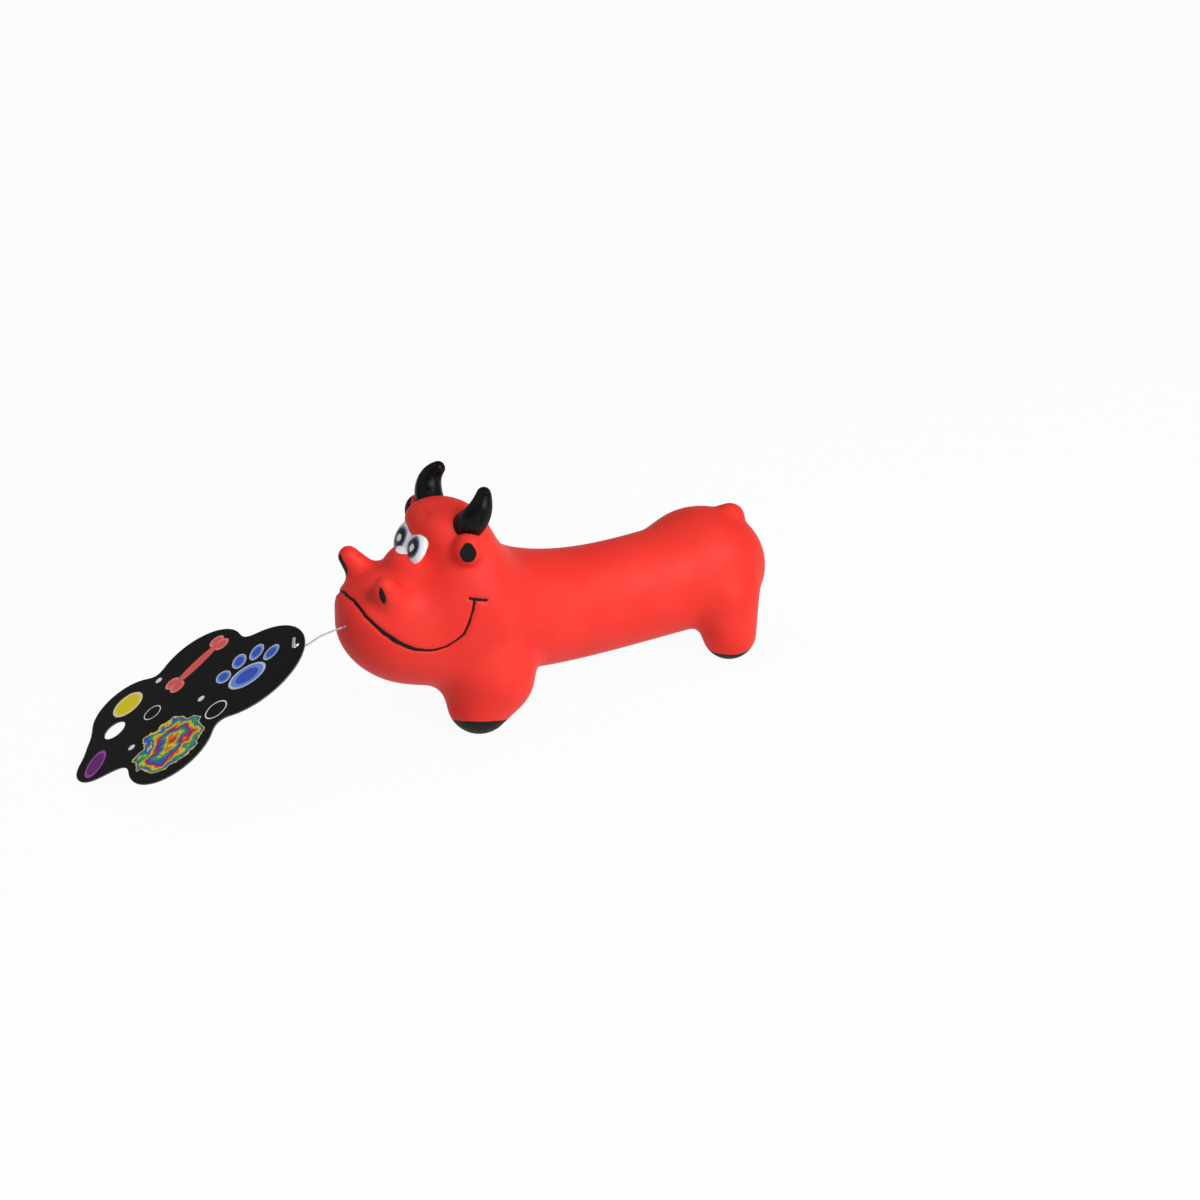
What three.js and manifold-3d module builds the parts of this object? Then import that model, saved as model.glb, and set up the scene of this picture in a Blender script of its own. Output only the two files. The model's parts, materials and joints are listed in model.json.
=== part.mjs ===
// Squeaky latex bull for dogs: a hollow moulded skin with dipped hooves, painted horns and raised
// eyes, a fibre filling round a bellows squeaker, a belly plug and a card tag on a nylon pin.
// Millimetres, +Z up. X runs from the muzzle to the rump, and -Y is the animal's left side.
import * as THREE from 'three';
import { mergeVertices } from 'three/addons/utils/BufferGeometryUtils.js';
import Module from 'manifold-3d';

const wasm = await Module();
wasm.setup();

// Skin and fits
const WALL = 2.2;
const FIT_GAP = 0.3;
const SOLE_FLAT = 0.5;

// Torso: a round bar that swells towards the neck, with a haunch and a chest blended on
const TORSO_FRONT = 8;
const TORSO_LENGTH = 116;
const TORSO_HEIGHT = 32.2;
const TORSO_RADIUS = 22.2;
const NECK_RISE = 17;
const NECK_SWELL = 8;
const RUMP_RISE = 0.6;
const RUMP_SWELL = 1.2;
const SWELL_POWER = 4;
const HAUNCH_OFFSET = [-5, 0, 3];
const HAUNCH_RADII = [27.5, 26, 23.8];
const HAUNCH_BLEND = 3.5;
const CHEST_OFFSET = [0, 0, -9.2];
const CHEST_RADII = [22, 24, 22];
const CHEST_BLEND = 6;
const TAIL_OFFSET = [10, 0, 21.2];
const TAIL_RADII = [6.6, 6, 5.6];

// Head forms, as offsets from the middle of the head
const HEAD_CENTRE = [-10, 0, 62];
const HEAD_CORE = [7, 0, 5];
const CRANIUM_OFFSET = [11.5, 0, 11];
const CRANIUM_RADII = [16, 20, 20.3];
const MUZZLE_OFFSET = [-14.5, 0, -3.4];
const MUZZLE_RADII = [22.5, 18.5, 9.8];
const MUZZLE_BLEND = 8;
const JAW_OFFSET = [-7.6, 0, -15.8];
const JAW_RADII = [32.5, 25, 24.6];
const JAW_PITCH = 20;
const JAW_BLEND = 5;
const CHEEK_OFFSET = [12, 13, -6];
const CHEEK_RADII = [17, 13.5, 19];
const CHEEK_BLEND = 8;
const BROW_OFFSET = [4.8, 6, 24];
const BROW_RADII = [8.6, 8.6, 6];
const BROW_BLEND = 7;
const BRIDGE_OFFSET = [-5.5, 0, 7];
const BRIDGE_RADII = [11.5, 11, 8.6];
const BRIDGE_PITCH = 30;
const BRIDGE_BLEND = 5;
const RIDGE_OFFSET = [0.5, 0, 23];
const RIDGE_RADII = [5.6, 7.5, 4.6];
const RIDGE_BLEND = 3;
const NECK_BLEND = 13;
const NECK_TILT = 41;
const NECK_OFFSET = [14, 0, -16];

// Small forms on the head
const EYE_OFFSET = [-6, 5.6, 18.2];
const EYE_RADII = [2.4, 5.4, 7];
const EYE_PITCH = 30;
const NOSTRIL_ROOT = [-18.5, 11, -1];
const NOSTRIL_TIP = [-25.6, 15.4, 10.8];
const NOSTRIL_ROOT_RADIUS = 7.2;
const NOSTRIL_TIP_RADIUS = 4.1;
const NOSTRIL_PIT_RADIUS = 2.2;
const NOSTRIL_PIT_WAY = [-0.7, 0.64, -0.31];
const HORN_ROOT = [11.3, 14, 26];
const HORN_BULGE = [12.8, 23.4, 33.8];
const HORN_TIP = [16.9, 18, 39.8];
const HORN_ROOT_RADIUS = 5.9;
const HORN_TIP_RADIUS = 2.9;
const HORN_TAPER_POWER = 1.8;
const EAR_OFFSET = [8.4, 20.4, 20.2];
const EAR_RADII = [5.8, 5.6, 6.8];
const EAR_WAY = [-0.56, 0.8, 0.22];
const EAR_DISH_RADII = [2.8, 1.6, 3.65];

// Mouth groove: heights above the head's middle at turns from the front, in degrees
const MOUTH_LINE = [[0, 2.1], [7, 2], [12, 1.1], [17, -0.4], [23.6, -3.2], [31.5, -7.3], [41, -11.4],
  [47, -13.3], [53, -15.1], [60, -16], [67, -16.6], [78, -15.9], [87, -13.4], [92.3, -11.1], [97, -6.3],
  [101, -1.6], [103, 1.4]];
const MOUTH_RADIUS = 0.8;

// Legs: round-footed cones, with hooves dipped to a slanting line in front and a level one behind
const FRONT_LEG = { name: 'front', hip: [9.5, 14, 31], foot: [2.6, 21.2], radii: [22.6, 13.8], bulge: 2.6 };
const REAR_LEG = { name: 'rear', hip: [-3, 16, 27], foot: [-2, 19.5], radii: [15, 11.5], bulge: 0 };
const LEG_BLEND = 7;
const LEG_FILLET = 4;
const FRONT_DIP = { below: 6.5, tilt: 24, turn: 58.5 };
const REAR_DIP = { below: 7, tilt: 0, turn: 58.5 };

// Squeaker: bellows bulb lying across the torso, with a reed nozzle in its neck
const SQUEAKER_X = 62;
const BULB_RADIUS = 13;
const BULB_LENGTH = 16;
const BULB_WALL = 1;
const BULB_PLEATS = 3;
const PLEAT_DEPTH = 2.2;
const CROWN_RISE = 3.6;
const CROWN_WALL = 1.3;
const NOZZLE_RADIUS = 3.7;
const NOZZLE_BORE = 2.7;
const NOZZLE_LENGTH = 11;
const NOZZLE_INSIDE = 5;
const FLANGE_RADIUS = 6.2;
const FLANGE_THICKNESS = 1.2;
const REED_WIDTH = 3.4;
const REED_LENGTH = 8.4;
const REED_THICKNESS = 0.3;
const CAP_LENGTH = 4.6;
const CAP_SLOT_DEPTH = 3.2;
const CAP_VENT = [1.4, 0.7];

// Belly plug and its vent
const PLUG_RADIUS = 7;
const PLUG_FLANGE = 9.4;
const PLUG_FLANGE_HEIGHT = 1.6;
const VENT_RADIUS = 1.5;
const VENT_CHANNEL = 3.4;

// Tag pin, from the lower lip to the card
const LIP_DROP = -8;
const LIP_TURN = -6.2;
const FILAMENT_LENGTH = 19.3;
const FILAMENT_RADIUS = 0.35;
const FILAMENT_TURN = 7.2;
const FILAMENT_DROP = 12.7;
const BAR_LENGTH = 8;
const BAR_RADIUS = 0.6;
const BAR_DEPTH = 4.4;
const PADDLE_LENGTH = 6;
const PADDLE_WIDTH = 1.2;
const PADDLE_HEIGHT = 0.8;
const PIN_STANDOFF = 1.2;

// Card: lobes as [along, across, radius] from its pin hole
const CARD_THICKNESS = 0.6;
const CARD_LOBES = [[21, 1.5, 25], [47, -21.5, 20.5], [54.5, 27, 19.2], [50, 0, 27], [74, 7, 17],
  [80, -16, 16.5], [89, 12.3, 11]];
const CARD_BLEND = 7;
const CARD_MIDDLE = 50;
const CARD_YAW = 18;
const CARD_TURN = -11.8;
const CARD_PIN_HOLE = 1.4;
const PEG_HOLE_RADIUS = 4.9;
const PEG_HOLE_PLACE = [84.5, -4.7];

// Finishes, as seen on the toy
const RED_LATEX = { color: '#f0463f', roughness: 0.6 };
const BLACK_PAINT = { color: '#171615', roughness: 0.3 };
const WHITE_PAINT = { color: '#f1f1f4', roughness: 0.35 };
const FIBRE = { color: '#ece9e2', roughness: 0.95 };
const POLYETHYLENE = { color: '#e4e6e6', roughness: 0.45 };
const NYLON = { color: '#f2f2f0', roughness: 0.4 };
const BLACK_CARD = { color: '#15151a', roughness: 0.35 };

// Facet counts
const HEAD_ROWS = 22;
const HEAD_COLUMNS = 36;
const TORSO_ROWS = 14;
const TORSO_COLUMNS = 28;
const CAP_ROWS = 5;
const CORE_COLUMNS = 18;
const CORE_ROWS = 11;
const LIMB_COLUMNS = 18;
const LIMB_ROWS = 6;
const LIMB_CORE_COLUMNS = 12;
const LIMB_CORE_ROWS = 4;
const LIMB_CAP_TURNS = [30, 60];
const SMALL_COLUMNS = 14;
const SMALL_ROWS = 6;
const ROUND_SIDES = 20;
const THIN_SIDES = 8;
const CARD_POINTS = 60;
const MOUTH_STEPS = 44;
const FILAMENT_STEPS = 18;
const MOUTH_SIDES = 6;
const HORN_SAMPLES = 25;
const HORN_ROWS = 8;
const DOME_ROWS = 5;

const SIDES = [{ name: 'left', sign: -1 }, { name: 'right', sign: 1 }];
const UP = new THREE.Vector3(0, 0, 1);
const ACROSS = new THREE.Vector3(0, 1, 0);
const BEYOND = 400;
const MARCH_STEP = 1;
const HALVINGS = 14;
const TINY = 1e-6;
const MERGE_WITHIN = 1e-4;
const NEARLY_ALONG = 0.9;

const vector = ([x, y, z]) => new THREE.Vector3(x, y, z);
const radians = THREE.MathUtils.degToRad;
const turned = (angle) => [Math.cos(angle), Math.sin(angle)];
const spread = (count, from, to) =>
  Array.from({ length: count }, (_, i) => from + ((to - from) * i) / (count - 1));

// Places shared by several pieces
const headCentre = vector(HEAD_CENTRE);
const torsoRear = TORSO_FRONT + TORSO_LENGTH;
const onHead = ([x, y, z], sign = 1) => headCentre.clone().add(new THREE.Vector3(x, sign * y, z));

function torsoAxis(x) {
  const along = THREE.MathUtils.clamp((x - TORSO_FRONT) / TORSO_LENGTH, 0, 1);
  const neck = (1 - along) ** SWELL_POWER;
  const rump = along ** SWELL_POWER;
  const height = TORSO_HEIGHT + NECK_RISE * neck + RUMP_RISE * rump;
  const radius = TORSO_RADIUS + NECK_SWELL * neck + RUMP_SWELL * rump;
  return { point: new THREE.Vector3(x, 0, height), radius };
}

const frontEnd = torsoAxis(TORSO_FRONT).point;
const rearEnd = torsoAxis(torsoRear).point;

// Distance fields of the swelling forms: negative inside, zero on the surface
function egg(centre, radii, pitch = 0) {
  const [cos, sin] = turned(radians(pitch));
  return (p) => {
    const x = p.x - centre.x;
    const z = p.z - centre.z;
    const q = [x * cos - z * sin, p.y - centre.y, x * sin + z * cos];
    const near = Math.hypot(...q.map((value, i) => value / radii[i])) + TINY;
    const slope = Math.hypot(...q.map((value, i) => value / radii[i] ** 2)) + TINY;
    return (near * (near - 1)) / slope;
  };
}

const taper = ([fromRadius, toRadius], bulge = 0) => (t) =>
  fromRadius + (toRadius - fromRadius) * t + bulge * Math.sin(Math.PI * t);

function roundCone(from, to, radiusAt) {
  const span = to.clone().sub(from);
  const lengthSquared = span.lengthSq();
  return (p) => {
    const offset = p.clone().sub(from);
    const along = THREE.MathUtils.clamp(offset.dot(span) / lengthSquared, 0, 1);
    return offset.addScaledVector(span, -along).length() - radiusAt(along);
  };
}

function blend(a, b, reach) {
  return (p) => {
    const da = a(p);
    const db = b(p);
    const mix = THREE.MathUtils.clamp(0.5 + (0.5 * (db - da)) / reach, 0, 1);
    return db + (da - db) * mix - reach * mix * (1 - mix);
  };
}

const bothSides = (field) => (p) => field(new THREE.Vector3(p.x, Math.abs(p.y), p.z));

function torsoField(p) {
  const nearest = THREE.MathUtils.clamp(p.x, TORSO_FRONT, torsoRear);
  const { point, radius } = torsoAxis(nearest);
  return p.distanceTo(point) - radius;
}

const haunch = egg(rearEnd.clone().add(vector(HAUNCH_OFFSET)), HAUNCH_RADII);
const chest = egg(frontEnd.clone().add(vector(CHEST_OFFSET)), CHEST_RADII);
const bodyField = blend(blend(torsoField, haunch, HAUNCH_BLEND), chest, CHEST_BLEND);
const cranium = egg(onHead(CRANIUM_OFFSET), CRANIUM_RADII);
const muzzle = egg(onHead(MUZZLE_OFFSET), MUZZLE_RADII);
const jaw = egg(onHead(JAW_OFFSET), JAW_RADII, JAW_PITCH);
const cheeks = bothSides(egg(onHead(CHEEK_OFFSET), CHEEK_RADII));
const brows = bothSides(egg(onHead(BROW_OFFSET), BROW_RADII));
const faceField = blend(blend(cranium, muzzle, MUZZLE_BLEND), jaw, JAW_BLEND);
const bridge = egg(onHead(BRIDGE_OFFSET), BRIDGE_RADII, BRIDGE_PITCH);
const ridge = egg(onHead(RIDGE_OFFSET), RIDGE_RADII);
const browField = blend(blend(faceField, cheeks, CHEEK_BLEND), brows, BROW_BLEND);
const headField = blend(blend(browField, bridge, BRIDGE_BLEND), ridge, RIDGE_BLEND);
const mouldField = blend(bodyField, headField, NECK_BLEND);

// Rays from inside the toy reach no further than the top of the neck stands above the floor
const neckTop = TORSO_HEIGHT + NECK_RISE + TORSO_RADIUS + NECK_SWELL;

// Where a ray from inside leaves a field, at a depth under its surface
function skinPoint(origin, direction, field, depth, reach) {
  const at = (travel) => origin.clone().addScaledVector(direction, travel);
  let inside = 0;
  let outside = MARCH_STEP;
  while (outside < reach && field(at(outside)) < -depth) {
    inside = outside;
    outside += MARCH_STEP;
  }
  if (outside >= reach) return at(reach);
  for (let i = 0; i < HALVINGS; i++) {
    const middle = (inside + outside) / 2;
    if (field(at(middle)) < -depth) inside = middle;
    else outside = middle;
  }
  return at(inside);
}

// Solids
function solidOf(points, faces) {
  const vertProperties = new Float32Array(points.flatMap((p) => [p.x, p.y, p.z]));
  let volume = 0;
  for (let i = 0; i < faces.length; i += 3) {
    const [a, b, c] = [0, 1, 2].map((k) => points[faces[i + k]]);
    volume += a.dot(b.clone().cross(c));
  }
  const triVerts = new Uint32Array(volume > 0 ? faces : faces.toReversed());
  return new wasm.Manifold(new wasm.Mesh({ numProp: 3, vertProperties, triVerts }));
}

function toSolid(geometry, matrix = new THREE.Matrix4()) {
  const bare = geometry.clone().applyMatrix4(matrix);
  bare.deleteAttribute('normal');
  bare.deleteAttribute('uv');
  const merged = mergeVertices(bare, MERGE_WITHIN);
  const position = merged.getAttribute('position');
  const pointAt = (_, i) => new THREE.Vector3().fromBufferAttribute(position, i);
  const points = Array.from({ length: position.count }, pointAt);
  return solidOf(points, Array.from(merged.index.array));
}

function toGeometry(solid) {
  const mesh = solid.getMesh();
  const geometry = new THREE.BufferGeometry();
  geometry.setAttribute('position', new THREE.BufferAttribute(mesh.vertProperties, 3));
  geometry.setIndex(new THREE.BufferAttribute(mesh.triVerts, 1));
  geometry.computeVertexNormals();
  return geometry;
}

// A closed solid through rings of points, with a pole at each end
function loft(startPole, rings, endPole) {
  const columns = rings[0].length;
  const points = [startPole, ...rings.flat(), endPole];
  const at = (row, column) => 1 + row * columns + (column % columns);
  const last = rings.length - 1;
  const faces = [];
  for (let column = 0; column < columns; column++) {
    faces.push(0, at(0, column + 1), at(0, column));
    for (let row = 0; row < last; row++) {
      faces.push(at(row, column), at(row, column + 1), at(row + 1, column + 1));
      faces.push(at(row, column), at(row + 1, column + 1), at(row + 1, column));
    }
    faces.push(points.length - 1, at(last, column), at(last, column + 1));
  }
  return solidOf(points, faces);
}

// Two directions square to an axis
function squareTo(axis) {
  const first = Math.abs(axis.y) < NEARLY_ALONG ? ACROSS.clone() : UP.clone();
  first.addScaledVector(axis, -first.dot(axis)).normalize();
  return [first, axis.clone().cross(first)];
}

// Rays round an axis: from its own direction (0) over square to it (90) to against it (180)
function rayRing(axis, polar, columns) {
  const [first, second] = squareTo(axis);
  const [cos, sin] = turned(radians(polar));
  return Array.from({ length: columns }, (_, i) => {
    const [c, s] = turned((2 * Math.PI * i) / columns);
    return axis.clone().multiplyScalar(cos).addScaledVector(first, sin * c).addScaledVector(second, sin * s);
  });
}

function halfSpace(point, normal) {
  const matrix = new THREE.Matrix4().compose(
    point.clone().addScaledVector(normal, BEYOND / 2),
    new THREE.Quaternion().setFromUnitVectors(UP, normal),
    new THREE.Vector3(1, 1, 1),
  );
  return toSolid(new THREE.BoxGeometry(BEYOND, BEYOND, BEYOND), matrix);
}

function cylinderSolid(radius, from, to, sides) {
  const axis = to.clone().sub(from);
  const matrix = new THREE.Matrix4().compose(
    from.clone().addScaledVector(axis, 0.5),
    new THREE.Quaternion().setFromUnitVectors(ACROSS, axis.clone().normalize()),
    new THREE.Vector3(1, 1, 1),
  );
  return toSolid(new THREE.CylinderGeometry(radius, radius, axis.length(), sides), matrix);
}

// Torso block: rays square to its axis, with round caps, at a depth under the skin
function torsoBlock(depth, columns = TORSO_COLUMNS) {
  const forward = new THREE.Vector3(-1, 0, 0);
  const cast = (origin, ray) => skinPoint(origin, ray, mouldField, depth, neckTop);
  const capTurns = spread(CAP_ROWS + 2, 0, 90).slice(1, -1);
  const ringAt = (x, polar) => rayRing(forward, polar, columns).map((ray) => cast(torsoAxis(x).point, ray));
  const rings = [
    ...capTurns.map((turn) => ringAt(TORSO_FRONT, turn)),
    ...spread(TORSO_ROWS, TORSO_FRONT, torsoRear).map((x) => ringAt(x, 90)),
    ...capTurns.map((turn) => ringAt(torsoRear, 90 + turn)),
  ];
  return loft(cast(frontEnd, forward), rings, cast(rearEnd, forward.clone().negate()));
}

// Head block: rays from the core of the head, in rings round the slant of the neck
const neckNormal = new THREE.Vector3(-Math.sin(radians(NECK_TILT)), 0, Math.cos(radians(NECK_TILT)));
const neckPoint = onHead(NECK_OFFSET);
function headBlock(depth, columns = HEAD_COLUMNS, rows = HEAD_ROWS) {
  const cast = (ray) => skinPoint(onHead(HEAD_CORE), ray, mouldField, depth, neckTop);
  const turns = spread(rows + 2, 0, 180).slice(1, -1);
  const rings = turns.map((turn) => rayRing(neckNormal, turn, columns).map(cast));
  return loft(cast(neckNormal), rings, cast(neckNormal.clone().negate()));
}

const neckShift = (distance) => neckPoint.clone().addScaledVector(neckNormal, distance);
const behindNeck = halfSpace(neckShift(-FIT_GAP / 2), neckNormal.clone().negate());
const beforeNeck = halfSpace(neckShift(FIT_GAP / 2), neckNormal);
const aboveFloor = halfSpace(new THREE.Vector3(), UP);
const torsoOuter = torsoBlock(0).intersect(behindNeck);
const headOuter = headBlock(0).intersect(beforeNeck);
const torsoGrown = torsoBlock(-FIT_GAP);
const headGrown = headBlock(-FIT_GAP);
const grownMould = torsoGrown.intersect(halfSpace(neckShift(FIT_GAP), neckNormal.clone().negate()))
  .add(headGrown.intersect(halfSpace(neckShift(-FIT_GAP), neckNormal)));

// A round-ended limb along a curve, out to the skin of a field
function limbBlock(curve, radiusAt, field, depth, columns, rows) {
  const start = curve.getPoint(0);
  const end = curve.getPoint(1);
  const startAxis = curve.getTangent(0).negate();
  const endAxis = curve.getTangent(1);
  const cast = (origin, ray, t) => skinPoint(origin, ray, field, depth, radiusAt(t) + LEG_FILLET);
  const rings = [
    ...LIMB_CAP_TURNS.map((turn) => rayRing(startAxis, turn, columns).map((ray) => cast(start, ray, 0))),
    ...spread(rows, 0, 1).map((t) => {
      const origin = curve.getPoint(t);
      return rayRing(curve.getTangent(t).negate(), 90, columns).map((ray) => cast(origin, ray, t));
    }),
    ...LIMB_CAP_TURNS.toReversed().map((turn) =>
      rayRing(endAxis.clone().negate(), 180 - turn, columns).map((ray) => cast(end, ray, 1))),
  ];
  return loft(cast(start, startAxis, 0), rings, cast(end, endAxis, 1));
}

function coneBlock(from, to, radiusAt, field, depth, columns = SMALL_COLUMNS, rows = SMALL_ROWS) {
  return limbBlock(new THREE.LineCurve3(from, to), radiusAt, field, depth, columns, rows);
}

const toy = new THREE.Group();
function addPiece(name, solid, finish, parent = toy) {
  const geometry = solid instanceof THREE.BufferGeometry ? solid : toGeometry(solid);
  const mesh = new THREE.Mesh(geometry, new THREE.MeshStandardMaterial({ metalness: 0, ...finish }));
  mesh.name = name;
  parent.add(mesh);
  return mesh;
}

// Squeaker place and the room it needs in the filling
const squeakerCentre = torsoAxis(SQUEAKER_X).point;
const bulbFront = -BULB_LENGTH / 2;
const bulbBack = BULB_LENGTH / 2;
const crownTop = bulbFront - FIT_GAP - CROWN_RISE;
const flangeBack = bulbBack + FIT_GAP + FLANGE_THICKNESS;
const nozzleEnd = bulbBack - NOZZLE_INSIDE + NOZZLE_LENGTH;
const atSqueaker = (y) => new THREE.Vector3(squeakerCentre.x, y, squeakerCentre.z);
const roomAlong = (radius, from, to) =>
  cylinderSolid(radius + FIT_GAP, atSqueaker(from), atSqueaker(to + FIT_GAP), ROUND_SIDES);
const bulbRoom = roomAlong(BULB_RADIUS, crownTop - FIT_GAP, flangeBack);
const nozzleRoom = roomAlong(NOZZLE_RADIUS, 0, nozzleEnd);

// Belly plug, flush with the skin and held by a flange inside it
const belly = (z) => new THREE.Vector3(squeakerCentre.x, 0, z);
const bellyInside = skinPoint(squeakerCentre, UP.clone().negate(), mouldField, WALL + FIT_GAP, BEYOND).z;
const plugTop = belly(bellyInside + PLUG_FLANGE_HEIGHT);
const plugColumn = (radius, top = plugTop) => cylinderSolid(radius, belly(-BEYOND / 2), top, ROUND_SIDES);
const torsoCore = torsoBlock(WALL, CORE_COLUMNS);
const fillingCore = torsoBlock(WALL + FIT_GAP, CORE_COLUMNS);
const plugBody = plugColumn(PLUG_RADIUS).intersect(torsoBlock(0));
const plugFlange = plugColumn(PLUG_FLANGE).intersect(fillingCore);
addPiece('belly_plug', plugBody.add(plugFlange).subtract(plugColumn(VENT_RADIUS, squeakerCentre)), RED_LATEX);

// Lower lip, where the pin comes out, and the way it points
const lipHeight = onHead([0, 0, LIP_DROP]);
const [lipCos, lipSin] = turned(radians(LIP_TURN));
const lip = skinPoint(lipHeight, new THREE.Vector3(-lipCos, lipSin, 0), mouldField, 0, BEYOND);
const alongLip = new THREE.Vector3(lipSin, lipCos, 0);
const [turnCos, turnSin] = turned(radians(FILAMENT_TURN));
const [dropCos, dropSin] = turned(radians(FILAMENT_DROP));
const filamentWay = new THREE.Vector3(-turnCos * dropCos, turnSin * dropCos, -dropSin);
const alongPin = (distance) => lip.clone().addScaledVector(filamentWay, distance);
const barCentre = alongPin(-WALL - BAR_DEPTH);
const barEnd = (sign, extra = 0) =>
  barCentre.clone().addScaledVector(alongLip, sign * (BAR_LENGTH / 2 + extra));
const pinRoom = cylinderSolid(FILAMENT_RADIUS + FIT_GAP, barCentre, alongPin(WALL), THIN_SIDES);
const barRoom = cylinderSolid(BAR_RADIUS + FIT_GAP, barEnd(-1, FIT_GAP), barEnd(1, FIT_GAP), THIN_SIDES);

// Mouth groove, swept along the line laid on the skin
function mouthGroove() {
  const halfLine = MOUTH_LINE.slice(1);
  const keys = [...halfLine.toReversed().map(([turn, height]) => [-turn, height]), ...MOUTH_LINE];
  const onSkin = keys.map(([turn, height]) => {
    const [c, s] = turned(radians(turn));
    const origin = onHead([0, 0, height]);
    return skinPoint(origin, new THREE.Vector3(-c, -s, 0), mouldField, 0, neckTop);
  });
  const path = new THREE.CatmullRomCurve3(onSkin, false, 'centripetal');
  const section = new THREE.Shape().absarc(0, 0, MOUTH_RADIUS, 0, 2 * Math.PI);
  const sweep = { steps: MOUTH_STEPS, extrudePath: path, curveSegments: MOUTH_SIDES / 2 };
  return toSolid(new THREE.ExtrudeGeometry(section, sweep));
}

// Skins and filling
const headCore = headBlock(WALL, CORE_COLUMNS, CORE_ROWS);
const torsoSkin = torsoOuter.subtract(torsoCore).subtract(plugColumn(PLUG_RADIUS + FIT_GAP));
addPiece('torso_skin', torsoSkin, RED_LATEX);
addPiece('head_skin', headOuter.subtract(headCore).subtract(mouthGroove()).subtract(pinRoom), RED_LATEX);
const ventChannel = plugColumn(VENT_CHANNEL, squeakerCentre);
const bodyFilling = fillingCore.intersect(behindNeck).subtract(bulbRoom).subtract(nozzleRoom)
  .subtract(plugColumn(PLUG_FLANGE + FIT_GAP, belly(plugTop.z + FIT_GAP))).subtract(ventChannel);
addPiece('body_filling', bodyFilling, FIBRE);
const headFilling = headBlock(WALL + FIT_GAP, CORE_COLUMNS, CORE_ROWS).intersect(beforeNeck);
addPiece('head_filling', headFilling.subtract(pinRoom).subtract(barRoom), FIBRE);

// Tail knob
const tailCentre = rearEnd.clone().add(vector(TAIL_OFFSET));
const tail = egg(tailCentre, TAIL_RADII);
function eggBlock(centre, field, reach) {
  const rings = spread(SMALL_ROWS + 2, 0, 180).slice(1, -1)
    .map((polar) => rayRing(UP, polar, SMALL_COLUMNS).map((ray) => skinPoint(centre, ray, field, 0, reach)));
  const pole = (ray) => skinPoint(centre, ray, field, 0, reach);
  return loft(pole(UP), rings, pole(UP.clone().negate()));
}
addPiece('tail_knob', eggBlock(tailCentre, tail, BEYOND).subtract(grownMould), RED_LATEX);

// Legs and hooves: one hollow limb, parted at the line that the hoof is dipped to
function legPieces(leg, originX, dip, side) {
  const hip = new THREE.Vector3(originX + leg.hip[0], side.sign * leg.hip[1], leg.hip[2]);
  const radiusAt = taper(leg.radii, leg.bulge);
  const footHeight = leg.radii[1] - SOLE_FLAT;
  const foot = new THREE.Vector3(originX + leg.foot[0], side.sign * leg.foot[1], footHeight);
  const field = blend(mouldField, roundCone(hip, foot, radiusAt), LEG_BLEND);
  const limb = (depth, columns, rows) => coneBlock(hip, foot, radiusAt, field, depth, columns, rows);
  const aboveSole = halfSpace(new THREE.Vector3(0, 0, WALL), UP);
  const inner = limb(WALL, LIMB_CORE_COLUMNS, LIMB_CORE_ROWS).intersect(aboveSole);
  const outwards = ACROSS.clone().multiplyScalar(side.sign);
  const ownSide = halfSpace(outwards.clone().multiplyScalar(FIT_GAP / 2), outwards);
  const outer = limb(0, LIMB_COLUMNS, LIMB_ROWS).intersect(aboveFloor).intersect(ownSide);
  const shell = outer.subtract(inner).subtract(grownMould);
  const [tiltCos, tiltSin] = turned(radians(dip.tilt));
  const [outCos, outSin] = turned(radians(dip.turn));
  const normal = new THREE.Vector3(tiltSin * outCos, -side.sign * tiltSin * outSin, tiltCos);
  const line = (shift) => foot.clone().addScaledVector(normal, shift - dip.below);
  addPiece(`${leg.name}_${side.name}_leg`, shell.intersect(halfSpace(line(FIT_GAP), normal)), RED_LATEX);
  const hoof = shell.intersect(halfSpace(line(0), normal.clone().negate()));
  addPiece(`${leg.name}_${side.name}_hoof`, hoof, BLACK_PAINT);
}

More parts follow.
